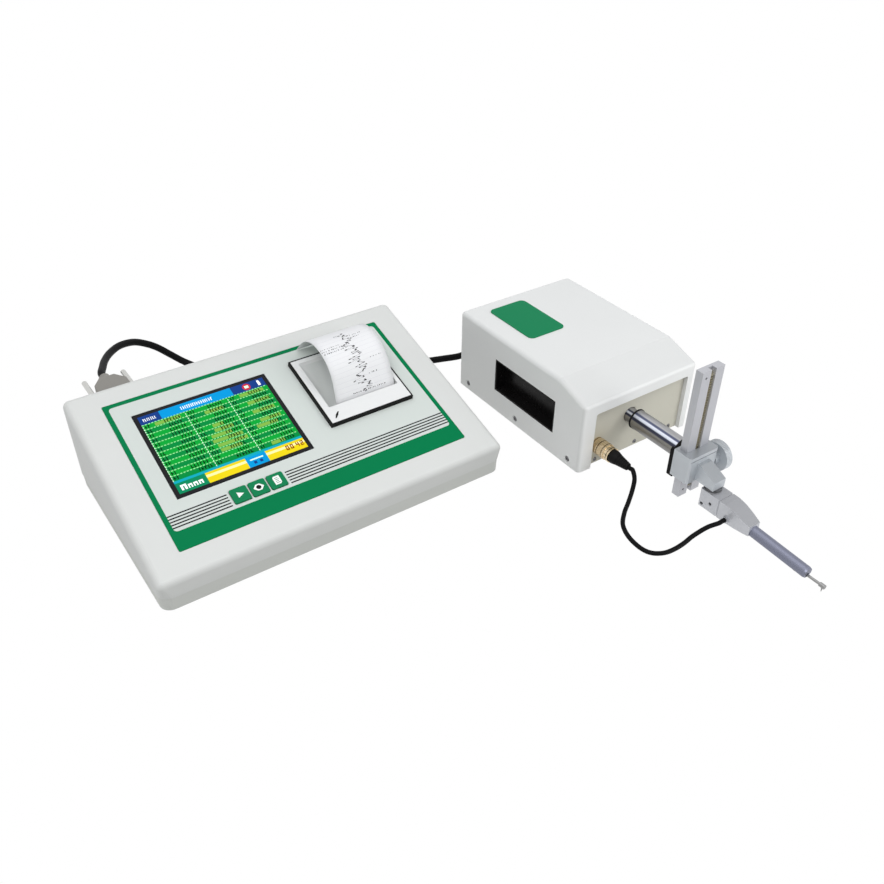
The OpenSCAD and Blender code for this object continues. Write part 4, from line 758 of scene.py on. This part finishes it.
def add_paper_sheet():
    """Strip of paper over the printer, a thin bent sheet that is a little slack on its right."""
    rows, cols = 64, 8
    verts = [on_paper(i / rows, j / cols, lift) for lift in (-PAPER_THICK / 2, PAPER_THICK / 2)
             for i in range(rows + 1) for j in range(cols + 1)]
    w = cols + 1
    layer = (rows + 1) * w
    faces = []
    for i in range(rows):
        for j in range(cols):
            a = i * w + j
            faces.append((a, a + 1, a + w + 1, a + w))
            faces.append((layer + a, layer + a + w, layer + a + w + 1, layer + a + 1))
    edge = list(range(w)) + [i * w + cols for i in range(1, rows + 1)]
    edge += [rows * w + j for j in range(cols - 1, -1, -1)] + [i * w for i in range(rows - 1, 0, -1)]
    for a, b in zip(edge, edge[1:] + edge[:1]):
        faces.append((a, layer + a, layer + b, b))
    mesh = smooth_mesh("paper_sheet", verts, faces)
    bm = bmesh.new()
    bm.from_mesh(mesh)
    bmesh.ops.recalc_face_normals(bm, faces=bm.faces)
    bm.to_mesh(mesh)
    bm.free()
    sheet = add_object("paper_sheet", mesh, "frame", [PAPER])
    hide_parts("paper_strip")


def add_paper_print():
    """Jagged trace with blots, rows of short marks and a fine grid on the paper."""
    page = Print()
    lift = 0.2

    def patch(t0, left0, right0, t1, left1, right1, colour):
        page.poly([on_paper(t0, left0, lift), on_paper(t0, right0, lift),
                   on_paper(t1, right1, lift), on_paper(t1, left1, lift)], colour)

    def mark(t0, s0, t1, s1, colour):
        patch(t0, s0, s1, t1, s0, s1, colour)

    first, last, step, half = 0.17, 0.74, 0.0075, 0.008
    t, s = first, 0.5
    while t < last:
        t1, s1 = t + step, 0.5 + random.uniform(-0.1, 0.1) + 0.05 * math.sin(t * 40)
        patch(t, s - half, s + half, t1, s1 - half, s1 + half, TRACE)
        if random.random() < 0.8:
            w = random.choice((0.009, 0.014, 0.02))
            mark(t1 - 0.0035, s1 - w, t1 + 0.0035, s1 + w, PRINT_BLACK)
        t, s = t1, s1
    for t, start, end in ((0.18, 0.3, 0.85), (0.58, 0.04, 0.42), (0.605, 0.02, 0.5), (0.63, 0.02, 0.36),
                          (0.66, 0.55, 0.75), (0.69, 0.55, 0.8), (0.42, 0.72, 0.9), (0.3, 0.62, 0.75)):
        s = start
        while s < end:
            mark(t, s, t + random.choice((0.005, 0.008)), s + random.choice((0.01, 0.016)), PRINT_BLACK)
            s += random.choice((0.026, 0.034, 0.05))
    for k in range(1, 10):
        mark(first, k / 10 - 0.001, 0.72, k / 10 + 0.001, GRID)
    for k in range(14):
        t = first + k * 0.042
        mark(t, 0.05, t + 0.0015, 0.95, GRID)
    page.make("paper_print", "frame")


add_screen()
add_key_signs()
add_paper_sheet()
add_paper_print()
add_release()


# Boot of the pickup's plug
def lathe(name, profile, start, axis, steps=40):
    """Solid of revolution: profile in (along, radius) millimetres from the start along an axis."""
    bm = bmesh.new()
    side = axis.orthogonal().normalized()
    ring = [bm.verts.new(start + (axis * a + side * r) * MM) for a, r in profile]
    edges = [bm.edges.new(e) for e in zip(ring, ring[1:])]
    bmesh.ops.spin(bm, geom=ring + edges, cent=start, axis=axis, angle=2 * math.pi, steps=steps,
                   use_merge=True)
    bmesh.ops.remove_doubles(bm, verts=bm.verts, dist=1e-7)
    bmesh.ops.recalc_face_normals(bm, faces=bm.faces)
    for face in bm.faces:
        face.smooth = True
    return mesh_from(bm, name)


def add_boot():
    """Tapered boot with five grooves, from the cord's end to the plug."""
    length, narrow, wide = 19.0, 3.25, 6.0
    first, pitch, deep, lip = 1.4, 2.3, 0.7, 0.15
    profile = [(0, 0), (0, 2.6), (0.5, 3.2)]
    for k in range(5):
        a = first + k * pitch
        r = narrow + (wide - narrow) * a / length
        profile += [(a, r), (a + 0.3, r - deep), (a + 0.9, r - deep), (a + 1.2, r + lip)]
    profile += [(13.6, 5.4), (16.0, wide), (18.6, wide), (length, 5.7), (length, 0)]
    mesh = lathe("plug_boot_ribbed", profile, BOOT_END * MM, Vector((0, 1, 0)))
    boot = add_object("plug_boot_ribbed", mesh, "frame", [BLACK])
    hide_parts("plug_boot")


add_boot()


# Studio
def background_rays(nt):
    """Mask of the rays that see the white background: the camera's, and those metal or glass sends on."""
    rays = nt.nodes.new("ShaderNodeLightPath").outputs
    seen = math_node(nt, "MAXIMUM", rays["Is Camera Ray"], rays["Is Glossy Ray"])
    return math_node(nt, "MAXIMUM", seen, rays["Is Transmission Ray"])


def add_world():
    """Sky that is brighter overhead, and white where the background shows."""
    world = bpy.data.worlds.new("studio")
    bpy.context.scene.world = world
    world.use_nodes = True
    nt = world.node_tree
    tint = (0.98, 0.99, 1.02)
    bands = [(place, toned(tint, level)) for place, level in ((0.0, 0.16), (0.35, 0.36), (0.85, 0.72))]
    sky = colour_ramp(nt, axes(nt, "Generated")[2], bands)
    shown = paint(nt, sky, background_rays(nt), (1.0, 1.0, 1.0))
    nt.links.new(shown, nt.nodes["Background"].inputs["Color"])


def add_floor():
    """Pale floor that lights the part from below, and white where the background shows."""
    bm = bmesh.new()
    bmesh.ops.create_grid(bm, x_segments=1, y_segments=1, size=6.0)
    mesh = mesh_from(bm, "floor")
    floor = bpy.data.objects.new("floor", mesh)
    bpy.context.scene.collection.objects.link(floor)
    m, nt, b = new_material("floor_white")
    b.inputs["Base Color"].default_value = (0.62, 0.62, 0.61, 1)
    b.inputs["Roughness"].default_value = 0.9
    glow, mix = nt.nodes.new("ShaderNodeEmission"), nt.nodes.new("ShaderNodeMixShader")
    glow.inputs["Color"].default_value = (1, 1, 1, 1)
    nt.links.new(background_rays(nt), mix.inputs[0])
    nt.links.new(b.outputs[0], mix.inputs[1])
    nt.links.new(glow.outputs[0], mix.inputs[2])
    nt.links.new(mix.outputs[0], nt.nodes["Material Output"].inputs["Surface"])
    mesh.materials.append(m)


def add_lamps():
    for name, place, aim, size, power in (("key", (-0.9, -0.7, 1.5), (0, 0, 0.03), 1.0, 13.0),
                                          ("fill", (0.9, -1.2, 0.7), (0.1, -0.05, 0.03), 1.0, 9.5),
                                          ("top", (0.0, 0.5, 1.7), (0, 0.05, 0.03), 1.4, 5.0)):
        light = bpy.data.lights.new(name, "AREA")
        light.size, light.energy = size, power
        lamp = bpy.data.objects.new(name, light)
        bpy.context.scene.collection.objects.link(lamp)
        lamp.location = place
        lamp.rotation_euler = (Vector(aim) - Vector(place)).to_track_quat("-Z", "Y").to_euler()


add_world()
add_floor()
add_lamps()
bpy.context.scene.view_settings.view_transform = "Standard"
